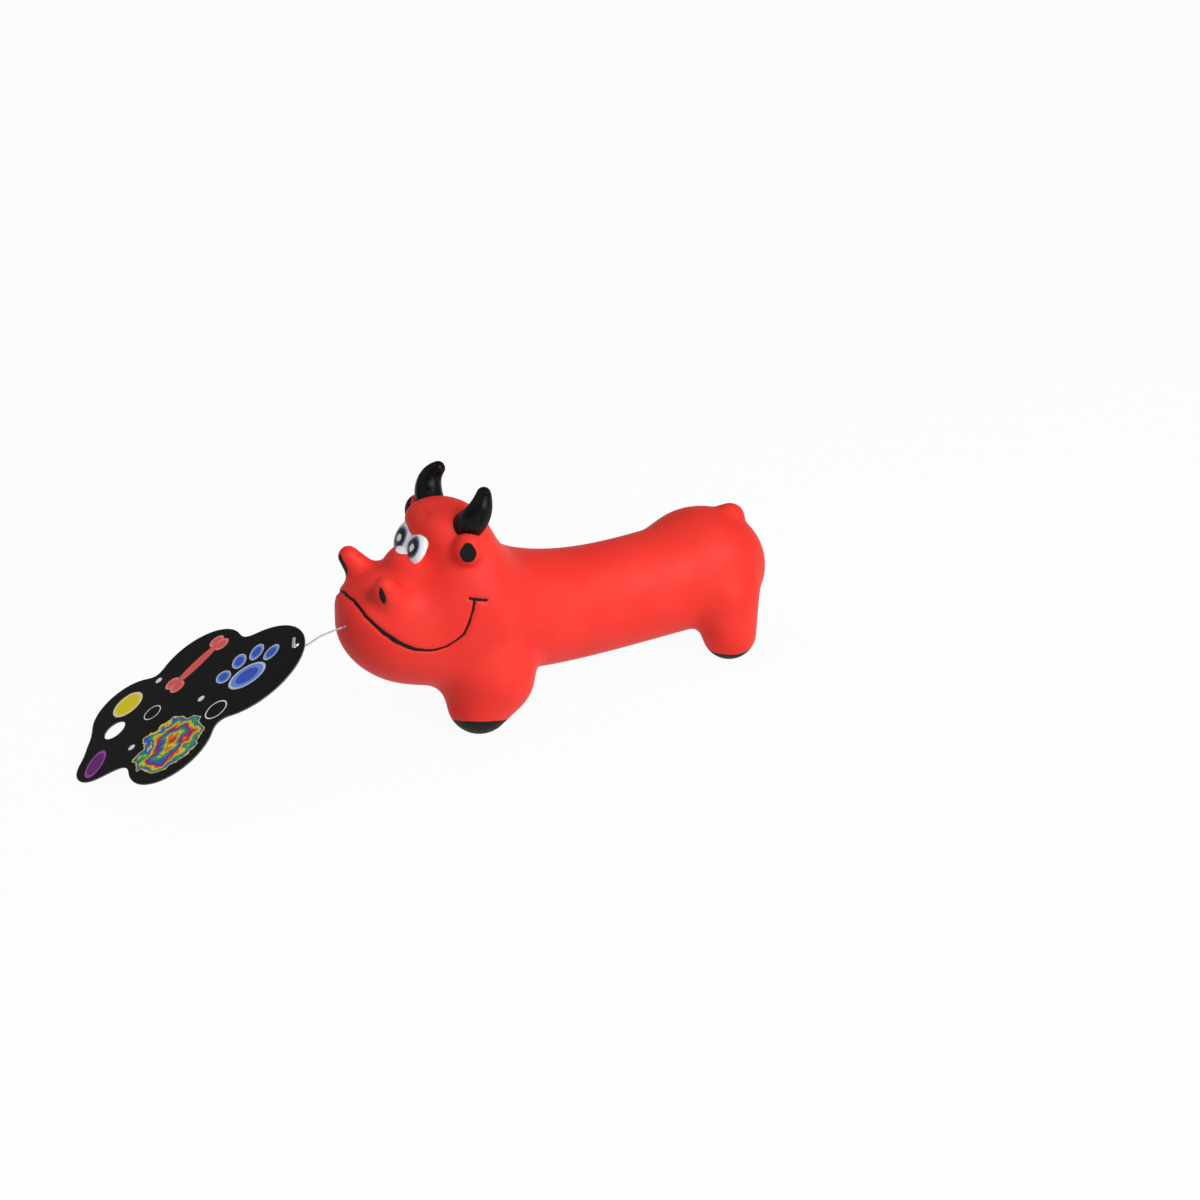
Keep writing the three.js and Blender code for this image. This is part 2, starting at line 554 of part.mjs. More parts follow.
// Horn, ear, nostril and eye of one side, each cut by the head under it
function headTrim(side) {
  const place = (offset) => onHead(offset, side.sign);
  const sideways = ([x, y, z]) => new THREE.Vector3(x, side.sign * y, z).normalize();
  const hornCurve = new THREE.QuadraticBezierCurve3(place(HORN_ROOT), place(HORN_BULGE), place(HORN_TIP));
  const hornRadius = (t) => HORN_ROOT_RADIUS + (HORN_TIP_RADIUS - HORN_ROOT_RADIUS) * t ** HORN_TAPER_POWER;
  const hornField = (grow) => (p) => {
    const gaps = spread(HORN_SAMPLES, 0, 1).map((t) => hornCurve.getPoint(t).distanceTo(p) - hornRadius(t));
    return Math.min(...gaps) - grow;
  };
  const horn = (grow) => limbBlock(hornCurve, hornRadius, hornField(grow), 0, SMALL_COLUMNS, HORN_ROWS);
  addPiece(`${side.name}_horn`, horn(0).subtract(grownMould), BLACK_PAINT);

  const earCentre = place(EAR_OFFSET);
  const earField = egg(earCentre, EAR_RADII);
  const dishCentre = skinPoint(earCentre, sideways(EAR_WAY), earField, 0, BEYOND);
  const dish = eggBlock(dishCentre, egg(dishCentre, EAR_DISH_RADII), BEYOND);
  const ear = eggBlock(earCentre, earField, BEYOND);
  addPiece(`${side.name}_ear`, ear.subtract(grownMould).subtract(horn(FIT_GAP)).subtract(dish), RED_LATEX);

  const root = place(NOSTRIL_ROOT);
  const tip = place(NOSTRIL_TIP);
  const nostrilRadius = taper([NOSTRIL_ROOT_RADIUS, NOSTRIL_TIP_RADIUS]);
  const nostrilField = roundCone(root, tip, nostrilRadius);
  const pitCentre = tip.clone().addScaledVector(sideways(NOSTRIL_PIT_WAY), NOSTRIL_TIP_RADIUS);
  const pit = eggBlock(pitCentre, egg(pitCentre, Array(3).fill(NOSTRIL_PIT_RADIUS)), BEYOND);
  const nostril = coneBlock(root, tip, nostrilRadius, nostrilField, 0);
  addPiece(`${side.name}_nostril`, nostril.subtract(grownMould).subtract(pit), RED_LATEX);

  const eyeCentre = place(EYE_OFFSET);
  const eye = eggBlock(eyeCentre, egg(eyeCentre, EYE_RADII, EYE_PITCH), BEYOND);
  addPiece(`${side.name}_eye`, eye.subtract(grownMould), WHITE_PAINT);
}

for (const side of SIDES) {
  legPieces(FRONT_LEG, 0, FRONT_DIP, side);
  legPieces(REAR_LEG, torsoRear, REAR_DIP, side);
  headTrim(side);
}

// Squeaker, turned on its own axis along Y
const squeaker = new THREE.Group();
squeaker.position.copy(squeakerCentre);
toy.add(squeaker);
const turnedPiece = (profile) =>
  new THREE.LatheGeometry(profile.map(([radius, y]) => new THREE.Vector2(radius, y)), ROUND_SIDES);
const closedProfile = (outside, inside) => [...outside, ...inside.toReversed(), outside[0]];

const bulbNeck = NOZZLE_RADIUS + FIT_GAP;
const pleatSteps = spread(2 * BULB_PLEATS + 1, bulbFront, bulbBack);
const pleats = (inset) => pleatSteps.map((y, i) => [BULB_RADIUS - inset - (i % 2 ? PLEAT_DEPTH : 0), y]);
const bulbOutside = [...pleats(0), [bulbNeck, bulbBack]];
const bulbInside = [...pleats(BULB_WALL).slice(0, -1), [BULB_RADIUS - BULB_WALL, bulbBack - BULB_WALL],
  [bulbNeck, bulbBack - BULB_WALL]];
addPiece('squeaker_bulb', turnedPiece(closedProfile(bulbOutside, bulbInside)), POLYETHYLENE, squeaker);

const crownBase = bulbFront - FIT_GAP;
const dome = (radius, rise) => spread(DOME_ROWS, 0, Math.PI / 2)
  .map((angle) => [radius * Math.cos(angle), crownBase - rise * Math.sin(angle)]);
const crownProfile = [...dome(BULB_RADIUS, CROWN_RISE).toReversed(),
  ...dome(BULB_RADIUS - BULB_WALL, CROWN_RISE - CROWN_WALL)];
crownProfile[0][0] = 0;
crownProfile.at(-1)[0] = 0;
addPiece('squeaker_crown', turnedPiece(crownProfile), POLYETHYLENE, squeaker);

const flangeFront = bulbBack + FIT_GAP;
const nozzleStart = bulbBack - NOZZLE_INSIDE;
const nozzleProfile = [[NOZZLE_BORE, nozzleStart], [NOZZLE_RADIUS, nozzleStart], [NOZZLE_RADIUS, flangeFront],
  [FLANGE_RADIUS, flangeFront], [FLANGE_RADIUS, flangeBack], [NOZZLE_RADIUS, flangeBack],
  [NOZZLE_RADIUS, nozzleEnd], [NOZZLE_BORE, nozzleEnd], [NOZZLE_BORE, nozzleStart]];
addPiece('squeaker_nozzle', turnedPiece(nozzleProfile), POLYETHYLENE, squeaker);

const capRadius = NOZZLE_BORE - FIT_GAP;
const capFront = nozzleEnd - CAP_LENGTH;
const reedBack = capFront + CAP_SLOT_DEPTH - FIT_GAP;
const yAxis = (y, z = 0) => new THREE.Vector3(0, y, z);
const slot = toSolid(new THREE.BoxGeometry(2 * NOZZLE_BORE, CAP_SLOT_DEPTH, REED_THICKNESS + 2 * FIT_GAP),
  new THREE.Matrix4().makeTranslation(0, capFront + CAP_SLOT_DEPTH / 2, 0));
const [ventHeight, ventRadius] = CAP_VENT;
const capVent = cylinderSolid(ventRadius, yAxis(capFront - CAP_LENGTH, ventHeight),
  yAxis(nozzleEnd + CAP_LENGTH, ventHeight), THIN_SIDES);
const capBlank = cylinderSolid(capRadius, yAxis(capFront), yAxis(nozzleEnd), ROUND_SIDES);
addPiece('squeaker_reed_cap', capBlank.subtract(slot).subtract(capVent), POLYETHYLENE, squeaker);

const reedShape = new THREE.Shape();
reedShape.moveTo(-REED_WIDTH / 2, reedBack);
reedShape.lineTo(-REED_WIDTH / 2, reedBack - REED_LENGTH + REED_WIDTH / 2);
reedShape.absarc(0, reedBack - REED_LENGTH + REED_WIDTH / 2, REED_WIDTH / 2, Math.PI, 2 * Math.PI, false);
reedShape.lineTo(REED_WIDTH / 2, reedBack);
const reedBody = { depth: REED_THICKNESS, bevelEnabled: false, curveSegments: THIN_SIDES };
const reed = new THREE.ExtrudeGeometry(reedShape, reedBody).translate(0, 0, -REED_THICKNESS / 2);
addPiece('squeaker_reed', reed, POLYETHYLENE, squeaker);

// Pin anchor: the bar inside the lip and the stub of filament through the skin
const stub = cylinderSolid(FILAMENT_RADIUS, barCentre, alongPin(-FIT_GAP), THIN_SIDES);
addPiece('pin_anchor', cylinderSolid(BAR_RADIUS, barEnd(-1), barEnd(1), THIN_SIDES).add(stub), NYLON);

// Card outline: round lobes blended in the card's own plane
const lobeFields = CARD_LOBES.map(([along, across, radius]) =>
  (p) => Math.hypot(p.x - along, p.y - across) - radius);
const cardField = lobeFields.reduce((joined, lobe) => blend(joined, lobe, CARD_BLEND));
const cardMiddle = new THREE.Vector3(CARD_MIDDLE, 0, 0);
const cardOutline = Array.from({ length: CARD_POINTS }, (_, i) => {
  const [c, s] = turned((2 * Math.PI * i) / CARD_POINTS);
  return skinPoint(cardMiddle, new THREE.Vector3(c, s, 0), cardField, 0, BEYOND);
});

// The card leans from its pin hole until its lowest point meets the floor
const pinHole = alongPin(FILAMENT_LENGTH);
const [cardCos, cardSin] = turned(radians(CARD_TURN));
const downReach = Math.max(...cardOutline.map((p) => p.x * cardCos - p.y * cardSin));
const pitch = Math.asin(pinHole.z / downReach);
const [yawCos, yawSin] = turned(radians(CARD_YAW));
const downSlope = new THREE.Vector3(-yawCos * Math.cos(pitch), yawSin * Math.cos(pitch), -Math.sin(pitch));
const level = new THREE.Vector3(-yawSin, -yawCos, 0);
const cardAlong = downSlope.clone().multiplyScalar(cardCos).addScaledVector(level, cardSin);
const cardAcross = level.clone().multiplyScalar(cardCos).addScaledVector(downSlope, -cardSin);
const cardNormal = cardAlong.clone().cross(cardAcross);

// Pin and card, each in a group at the point that it swings about
const pinPivot = new THREE.Group();
pinPivot.name = 'pin_pivot';
pinPivot.position.copy(lip);
toy.add(pinPivot);
const cardPivot = new THREE.Group();
cardPivot.name = 'card_pivot';
cardPivot.position.copy(pinHole).sub(lip);
cardPivot.quaternion.setFromRotationMatrix(new THREE.Matrix4().makeBasis(cardAlong, cardAcross, cardNormal));
pinPivot.add(cardPivot);

const cardShape = new THREE.Shape(cardOutline.map((p) => new THREE.Vector2(p.x, p.y)));
const roundHole = (x, y, radius) => new THREE.Path().absarc(x, y, radius, 0, 2 * Math.PI, true);
cardShape.holes.push(roundHole(0, 0, CARD_PIN_HOLE), roundHole(...PEG_HOLE_PLACE, PEG_HOLE_RADIUS));
const cardBody = { depth: CARD_THICKNESS, bevelEnabled: false, curveSegments: THIN_SIDES };
addPiece('tag_card', new THREE.ExtrudeGeometry(cardShape, cardBody), BLACK_CARD, cardPivot);

// Filament from the lip under the card's edge, up through its hole to the paddle
const fromLip = (distance) => filamentWay.clone().multiplyScalar(distance);
const throughHole = (height) => cardPivot.position.clone().addScaledVector(cardNormal, height);
const paddleBase = CARD_THICKNESS + PIN_STANDOFF;
const bendStart = fromLip(FILAMENT_LENGTH - 2 * PIN_STANDOFF).addScaledVector(cardNormal, -PIN_STANDOFF);
const filamentPath = new THREE.CatmullRomCurve3([fromLip(FIT_GAP), fromLip(FILAMENT_LENGTH / 2), bendStart,
  throughHole(-PIN_STANDOFF / 2), throughHole(paddleBase + PADDLE_HEIGHT / 2)], false, 'centripetal');
const filamentSection = new THREE.Shape().absarc(0, 0, FILAMENT_RADIUS, 0, 2 * Math.PI);
const filamentSweep = { steps: FILAMENT_STEPS, extrudePath: filamentPath, curveSegments: THIN_SIDES / 2 };
const filament = toSolid(new THREE.ExtrudeGeometry(filamentSection, filamentSweep));
const paddleMatrix = new THREE.Matrix4().makeBasis(cardAlong, cardAcross, cardNormal)
  .setPosition(throughHole(paddleBase + PADDLE_HEIGHT / 2));
const paddle = toSolid(new THREE.BoxGeometry(PADDLE_WIDTH, PADDLE_LENGTH, PADDLE_HEIGHT), paddleMatrix);
addPiece('tag_pin', filament.add(paddle), NYLON, pinPivot);

// Origin at the middle of the footprint, on the floor
const box = new THREE.Box3().setFromObject(toy, true);
const middle = box.getCenter(new THREE.Vector3());
toy.position.set(-middle.x, -middle.y, -box.min.z);

export default toy;
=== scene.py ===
"""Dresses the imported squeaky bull: latex skin, painted trim, filling, squeaker, hang card and stage."""
import json
import math
from functools import reduce

import bmesh
import bpy
import numpy as np
from bpy.props import FloatProperty, FloatVectorProperty, IntProperty, PointerProperty
from mathutils import Matrix, Vector


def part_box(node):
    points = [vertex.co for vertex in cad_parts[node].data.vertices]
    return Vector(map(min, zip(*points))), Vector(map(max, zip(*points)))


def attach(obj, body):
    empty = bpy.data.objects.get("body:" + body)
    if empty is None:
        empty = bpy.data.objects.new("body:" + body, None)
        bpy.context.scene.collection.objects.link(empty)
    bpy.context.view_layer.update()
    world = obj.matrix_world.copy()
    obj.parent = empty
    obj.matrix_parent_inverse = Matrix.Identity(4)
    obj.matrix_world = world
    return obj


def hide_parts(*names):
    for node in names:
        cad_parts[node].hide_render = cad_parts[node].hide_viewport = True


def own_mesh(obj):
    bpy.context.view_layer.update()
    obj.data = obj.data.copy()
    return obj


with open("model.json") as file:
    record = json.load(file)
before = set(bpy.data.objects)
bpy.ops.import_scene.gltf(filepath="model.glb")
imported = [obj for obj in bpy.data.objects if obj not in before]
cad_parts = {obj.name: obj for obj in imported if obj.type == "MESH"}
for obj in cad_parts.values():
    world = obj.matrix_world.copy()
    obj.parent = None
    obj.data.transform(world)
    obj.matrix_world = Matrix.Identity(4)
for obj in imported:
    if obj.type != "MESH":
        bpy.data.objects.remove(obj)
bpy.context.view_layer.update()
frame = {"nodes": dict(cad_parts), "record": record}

bl_info = {
    "name": "Squeaky bull",
    "version": (1, 0, 0),
    "blender": (4, 5, 0),
    "location": "View3D > Sidebar > Squeaky bull",
    "description": "Models a latex squeaky toy around its packed parts",
    "category": "Object",
}

MM = 0.001
TINY = 1e-6
# Points of a mesh closer than this, in millimetres, are one point
WELD = 0.001
# Faces that meet at more than this angle, in radians, meet at a sharp edge
SHARP = 1.0

# Forms are in millimetres on the toy's own datum: x runs back from the front hooves, y is 0 on the middle
# plane and z is 0 on the floor
FRONT_FOOT = (2.6, 21.2, 13.3)
REAR_FOOT = (122.0, 19.5, 11.0)
JOINTS = {joint["name"]: joint for joint in frame["record"]["behaviour"]["joints"]}
SOLES = {mount["name"]: Vector(mount["pos_m"]) for mount in frame["record"]["mounts"]}
BETWEEN_SOLES = (SOLES["front_left_sole"] + SOLES["front_right_sole"]) / 2
DATUM = BETWEEN_SOLES - Vector((FRONT_FOOT[0] * MM, 0.0, 0.0))
TO_FRAME = Matrix.Translation(DATUM) @ Matrix.Scale(MM, 4)
FROM_FRAME = TO_FRAME.inverted()


def node_box(node):
    """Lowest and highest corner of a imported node, in millimetres on the datum."""
    return [FROM_FRAME @ Vector(corner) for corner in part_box(node)]


def blended(first, second, reach):
    """Union of two distances with a fillet."""
    mix = np.clip(0.5 + 0.5 * (second - first) / reach, 0.0, 1.0)
    return second + (first - second) * mix - reach * mix * (1.0 - mix)


def cut_out(field, tool, reach):
    """A distance with a tool's form cut out of it, with a softened edge."""
    return -blended(-field, tool, reach)


class Form:
    """A swelling form, doubled across the middle plane where it stands beside it."""

    paired = False
    pair_blend = 4.0

    def distance(self, points):
        near = self.one_side(points)
        if not self.paired:
            return near
        return blended(near, self.one_side(points * (1.0, -1.0, 1.0)), self.pair_blend)

    def balls(self, side):
        """Balls that follow the form, as the matrices of their places and radii."""
        for share in np.linspace(0.0, 1.0, self.stations):
            centre, radius = self.station(share)
            yield Matrix.Translation(centre * (1, side, 1)) @ Matrix.Scale(radius, 4)

    def block_out(self, bm):
        """Adds the form's balls to a mesh."""
        for side in (1, -1) if self.paired else (1,):
            for matrix in self.balls(side):
                bmesh.ops.create_icosphere(bm, subdivisions=3, radius=1.0, matrix=matrix)


class Egg(Form):
    """An egg with its nose turned up by a pitch in degrees."""

    def __init__(self, centre, radii, pitch=0.0):
        self.centre = np.array(centre, float)
        self.radii = np.array(radii, float)
        self.pitch = math.radians(pitch)
        self.paired = centre[1] > 0

    def one_side(self, points):
        x, y, z = (points - self.centre).T
        cos, sin = math.cos(self.pitch), math.sin(self.pitch)
        local = np.column_stack((x * cos - z * sin, y, x * sin + z * cos))
        near = np.linalg.norm(local / self.radii, axis=1) + TINY
        slope = np.linalg.norm(local / self.radii ** 2, axis=1) + TINY
        return near * (near - 1.0) / slope

    def balls(self, side):
        place = Matrix.Translation(self.centre * (1, side, 1))
        yield place @ Matrix.Rotation(self.pitch, 4, "Y") @ Matrix.Diagonal((*self.radii, 1.0))


class RoundCone(Form):
    """A limb drawn tight over two balls."""

    stations = 9

    def __init__(self, start, start_radius, end, end_radius, paired=True):
        self.start = np.array(start, float)
        self.end = np.array(end, float)
        self.radii = (start_radius, end_radius)
        self.paired = paired

    def one_side(self, points):
        span = self.end - self.start
        length = np.linalg.norm(span)
        lean = (self.radii[0] - self.radii[1]) / length
        upright = math.sqrt(1.0 - lean * lean)
        offset = points - self.start
        along = offset @ span / length
        out = np.linalg.norm(offset - along[:, None] * span / length, axis=1)
        # Where the surface is square to the point, measured along the limb
        foot = np.clip(along - out * lean / upright, 0.0, length)
        near = np.hypot(out, along - foot)
        return near - self.radii[0] + lean * foot

    def station(self, share):
        centre = self.start + (self.end - self.start) * share
        return centre, self.radii[0] + (self.radii[1] - self.radii[0]) * share


class Dimple:
    """A painted dish pressed into the skin square to a direction, a little narrower at its top."""

    taper = 0.15
    paint_reach = 3.5

    def __init__(self, centre, way, half_width, half_height, depth):
        self.centre = np.array(centre, float)
        self.way = np.array(way, float) / np.linalg.norm(way)
        rise = np.array((0.0, 0.0, 1.0)) - self.way * self.way[2]
        self.rise = rise / np.linalg.norm(rise)
        self.across = np.cross(self.rise, self.way)
        self.half_width, self.half_height, self.depth = half_width, half_height, depth

    def shares(self, points):
        """Places across, up and out of the dish as shares of its sizes."""
        local = points - self.centre
        up = local @ self.rise / self.half_height
        across = local @ self.across / (self.half_width * (1.0 - self.taper * np.clip(up, -1.0, 1.0)))
        return across, up, local @ self.way / self.depth

    def rim(self, points):
        """Distance from the dish's rim, seen square to it."""
        return (np.hypot(*self.shares(points)[:2]) - 1.0) * self.half_width

    def distance(self, points):
        dish = (np.linalg.norm(self.shares(points), axis=0) - 1.0) * self.depth
        return np.maximum(dish, self.rim(points))

    def edge(self, points):
        """Distance from the paint in the dish."""
        out = self.shares(points)[2] * self.depth
        return np.where(np.abs(out) < self.paint_reach, self.rim(points), np.inf)


class Torso(Form):
    """A round bar along X that rises and swells towards the neck and the rump."""

    stations = 26
    front, rear = 8.0, 124.0
    height, radius, power = 32.2, 22.2, 4
    neck_rise, neck_swell = 17.0, 8.0
    rump_rise, rump_swell = 0.6, 1.2

    def axis(self, x):
        along = np.clip((x - self.front) / (self.rear - self.front), 0.0, 1.0)
        neck, rump = (1.0 - along) ** self.power, along ** self.power
        height = self.height + self.neck_rise * neck + self.rump_rise * rump
        return height, self.radius + self.neck_swell * neck + self.rump_swell * rump

    def one_side(self, points):
        nearest = np.clip(points[:, 0], self.front, self.rear)
        height, radius = self.axis(nearest)
        gap = points - np.column_stack((nearest, np.zeros_like(nearest), height))
        return np.linalg.norm(gap, axis=1) - radius

    def station(self, share):
        x = self.front + (self.rear - self.front) * share
        height, radius = self.axis(x)
        return np.array((x, 0.0, height)), radius


class Horn(Form):
    """A horn that tapers along a bent curve, a little off its mirrored place."""

    samples, stations = 60, 14
    course = np.array(((1.3, 14.0, 88.0), (2.8, 23.4, 95.8), (6.9, 18.0, 101.8)))
    root_radius, tip_radius, taper = 5.9, 2.9, 1.8

    def __init__(self, side, shift):
        self.points = self.course * (1.0, side, 1.0) + shift

    def station(self, share):
        root, bulge, tip = self.points
        place = root * (1 - share) ** 2 + bulge * 2 * share * (1 - share) + tip * share ** 2
        return place, self.root_radius + (self.tip_radius - self.root_radius) * share ** self.taper

    def one_side(self, points):
        gaps = np.full(len(points), np.inf)
        for share in np.linspace(0.0, 1.0, self.samples):
            place, radius = self.station(share)
            gaps = np.minimum(gaps, np.linalg.norm(points - place, axis=1) - radius)
        return gaps


# Each form with the reach of its fillet on those before it
TORSO = Torso()
TAIL = Egg((134.0, 0.0, 54.0), (6.6, 6.0, 5.6))
BODY = (
    (TORSO, 0.0),
    (Egg((119.0, 0.0, 35.8), (27.5, 26.0, 23.8)), 3.5),  # haunches
    (Egg((8.0, 0.0, 40.0), (22.0, 24.0, 22.0)), 6.0),  # chest
    (RoundCone((121.0, 16.0, 27.0), 15.0, REAR_FOOT, 11.5), 4.0),  # rear legs
    (TAIL, 3.0),
)
# The toy stands a little unevenly on its front legs
FRONT_LEGS = (
    RoundCone((8.0, -15.6, 22.7), 19.0, (2.2, -18.7, 12.8), 13.0, paired=False),
    RoundCone((8.0, 15.6, 22.7), 19.0, (7.0, 23.5, 12.5), 12.5, paired=False),
)
HEAD = (
    (Egg((1.5, 0.0, 73.0), (16.0, 20.0, 20.3)), 0.0),  # skull
    (Egg((-24.5, 0.0, 58.6), (22.5, 18.5, 9.8)), 8.0),  # muzzle
    (Egg((-17.0, 0.0, 45.6), (31.9, 25.0, 24.6), 21.0), 5.0),  # jaw
    (Egg((2.0, 13.0, 56.0), (17.0, 13.5, 19.0)), 8.0),  # cheeks
    (Egg((-5.2, 6.0, 86.0), (8.6, 8.6, 6.0)), 7.0),  # brows
    (Egg((-15.5, 0.0, 69.0), (11.5, 11.0, 8.6), 30.0), 5.0),  # bridge of the nose
    (Egg((-9.5, 0.0, 85.0), (5.6, 7.5, 4.6)), 3.0),  # forehead
)
NOSTRILS = RoundCone((-28.5, 11.0, 61.0), 7.2, (-35.6, 15.4, 72.8), 4.1)
EARS = Egg((-1.6, 20.4, 82.2), (5.8, 5.6, 6.8))
EYES = Egg((-16.0, 5.6, 80.2), (2.4, 5.4, 7.0), 30.0)
HORNS = (Horn(-1.0, (0.0, 0.0, 0.6)), Horn(1.0, (-0.7, 0.0, -2.2)))
# The tail is too thin to be hollow, so the lining and the filling stop short of it
INNER_FORMS = (*(form for form, _ in BODY + HEAD if form is not TAIL), *FRONT_LEGS)
OUTER_FORMS = (*(form for form, _ in BODY + HEAD), *FRONT_LEGS, NOSTRILS, EARS)
# Reach of the fillets, and of the softened edges of the dishes and the plug's seat
NECK_BLEND, LEG_BLEND, NOSTRIL_BLEND, EAR_BLEND = 13.0, 7.5, 3.5, 2.5
DISH_SOFTENING, SEAT_SOFTENING = 0.6, 0.3
# Size of the faces of the smaller and hidden pieces, and how near to small work the skin's are halved
HORN_MESH, EYE_MESH, INNER_MESH = 0.7, 0.55, 2.6
HALVED_WITHIN = (3.0, 1.8)

# Small work in the skin: the near nostril's pit and the near ear's dish
DIMPLES = (
    Dimple((-38.0, -17.6, 70.3), (-0.7, -0.64, -0.31), 1.35, 4.2, 0.9),
    Dimple((-4.3, -24.9, 83.0), (-0.5, -0.85, 0.15), 3.15, 3.95, 0.8),
)
# Those of the far side are only brushed on
BRUSHED = (
    Dimple((-38.8, 15.0, 69.6), (-0.95, 0.2, 0.1), 2.8, 5.0, 1.0),
    Dimple((-5.8, 22.4, 84.2), (-0.8, 0.5, 0.25), 3.8, 4.4, 1.0),
)
# The bridge of the nose is painted white where this form reaches through the skin between the eyes
BRIDGE_WHITE = Egg((-19.0, 0.0, 80.6), (4.8, 5.6, 3.9))
# Hooves ahead of this are dipped up to the front dip line, and those behind it up to the rear one
BETWEEN_LEGS = 64.4
# A mark for latex that no paint comes near
FAR_FROM_PAINT = 100.0
# Mouth: turn from straight ahead in degrees, about a point inside the head, height, and half width
# of the brush line
MOUTH_MIDDLE = -10.0
MOUTH = np.array((
    (0.0, 64.1, 0.42), (7.0, 64.0, 0.42), (12.0, 63.1, 0.45), (17.0, 61.6, 0.5), (23.6, 58.8, 0.6),
    (31.5, 54.7, 0.78), (41.0, 50.6, 0.88), (47.0, 48.7, 0.85), (53.0, 46.9, 0.72), (60.0, 46.0, 0.6),
    (67.0, 45.4, 0.55), (78.0, 46.1, 0.5), (87.0, 48.6, 0.45), (92.3, 50.9, 0.45), (97.0, 55.7, 0.48),
    (101.0, 60.4, 0.45), (103.0, 63.4, 0.42)))
# A short bar crosses the line's end, along and up, on the cheeks beyond this distance from the middle plane
MOUTH_BAR = np.array(((-5.0, 64.5), (1.0, 63.05)))
MOUTH_BAR_HALF_WIDTH = 0.55
MOUTH_BAR_BESIDE = 21.2
MOUTH_SAMPLES = 400
MOUTH_SOFTENING = 15


def mouth_table():
    """Mouth line at close turns, with its corners softened."""
    turns = np.linspace(0.0, MOUTH[-1, 0], MOUTH_SAMPLES)
    kernel = np.hanning(MOUTH_SOFTENING + 2)[1:-1]
    pad = MOUTH_SOFTENING // 2
    columns = [np.radians(turns)]
    for column in MOUTH.T[1:]:
        values = np.interp(turns, MOUTH[:, 0], column)
        padded = np.concatenate((values[pad:0:-1], values, 2 * values[-1] - values[-2:-pad - 2:-1]))
        columns.append(np.convolve(padded, kernel / kernel.sum(), "valid"))
    return columns


MOUTH_TABLE = mouth_table()


def mouth_bar_gap(points):
    """Distance from the bar at the end of the mouth line."""
    x, y, z = points.T
    span = MOUTH_BAR[1] - MOUTH_BAR[0]
    offset = np.column_stack((x, z)) - MOUTH_BAR[0]
    along = np.clip(offset @ span / (span @ span), 0.0, 1.0)
    gap = np.linalg.norm(offset - along[:, None] * span, axis=1)
    return np.where(np.abs(y) > MOUTH_BAR_BESIDE, gap, np.inf)


def mouth_gap(points):
    """Distance along the skin from the mouth line or its end bar, and the half width there."""
    x, y, z = points.T
    ahead, beside = MOUTH_MIDDLE - x, np.abs(y)
    turn = np.arctan2(beside, ahead)
    away = np.maximum(np.hypot(ahead, beside), 1.0)
    turns, heights, halves = MOUTH_TABLE
    rise = np.interp(turn, turns, np.gradient(heights, turns)) / away
    across = np.abs(z - np.interp(turn, turns, heights)) / np.hypot(1.0, rise)
    gap = np.hypot(across, np.maximum(turn - turns[-1], 0.0) * away)
    half = np.interp(turn, turns, halves)
    bar = mouth_bar_gap(points)
    on_bar = bar - MOUTH_BAR_HALF_WIDTH < gap - half
    return np.where(on_bar, bar, gap), np.where(on_bar, MOUTH_BAR_HALF_WIDTH, half)


def sculpted(points, steps):
    """Forms run into each other in order, each with its own fillet."""
    total = steps[0][0].distance(points)
    for form, reach in steps[1:]:
        total = blended(total, form.distance(points), reach)
    return total


def joined(points, head):
    """The body with a head and the front legs on it."""
    field = blended(sculpted(points, BODY), head, NECK_BLEND)
    for leg in FRONT_LEGS:
        field = blended(field, leg.distance(points), LEG_BLEND)
    return field


def bare_mould(points):
    """The moulding without its ears, nostrils and other small work."""
    return joined(points, sculpted(points, HEAD))


def horn_surface(points):
    """The outside of both horns."""
    return np.minimum(*(horn.distance(points) for horn in HORNS))


def belly_height(y=0.0):
    """Height of the underside above the floor, over the belly plug."""
    plug = bpy.context.scene.bull_plug
    height, radius = TORSO.axis(plug.place_x / MM)
    return float(height) - np.sqrt(float(radius) ** 2 - np.square(y))


def skin_surface(points):
    """The outside of the moulding, with its mouth groove, pits, dishes and the seat of the plug."""
    skin = bpy.context.scene.bull_skin
    plug = bpy.context.scene.bull_plug
    head = blended(sculpted(points, HEAD), NOSTRILS.distance(points), NOSTRIL_BLEND)
    field = joined(points, head)
    field = blended(field, EARS.distance(points), EAR_BLEND)
    for dimple in DIMPLES:
        field = cut_out(field, dimple.distance(points), DISH_SOFTENING)
    gap, half = mouth_gap(points)
    groove = np.exp(-np.square(gap / (half + skin.mouth_lip / MM)))
    field = field + skin.mouth_depth / MM * groove
    x, y, z = points.T
    seat_radius = (plug.radius + plug.gap) / MM
    reach = np.hypot(x - plug.place_x / MM, y) - seat_radius
    top = z - belly_height(np.clip(y, -seat_radius, seat_radius)) - plug.seat_depth / MM
    field = cut_out(field, np.maximum(reach, top), SEAT_SOFTENING)
    return np.maximum(field, -z)


def dimple_edge(points):
    """Distance from the paint in the pits and on the ears."""
    return np.min([dimple.edge(points) for dimple in DIMPLES + BRUSHED], axis=0)


def paint_gap(points):
    """Distance from the edge of the black paint, negative where the skin is painted."""
    skin = bpy.context.scene.bull_skin
    x, y, z = points.T
    folded = np.column_stack((x, np.abs(y), z))
    gap, half = mouth_gap(points)
    gap = np.minimum(gap - half, dimple_edge(points))
    tilt, turn = skin.front_dip_tilt, skin.front_dip_turn
    normal = (math.sin(tilt) * math.cos(turn), -math.sin(tilt) * math.sin(turn), math.cos(tilt))
    drop = np.where(y < 0, skin.front_dip_drop, skin.far_dip_drop) / MM
    front = (folded - FRONT_FOOT) @ normal + drop
    rear = z - skin.rear_dip_height / MM
    return np.minimum(gap, np.where(x < BETWEEN_LEGS, front, rear))


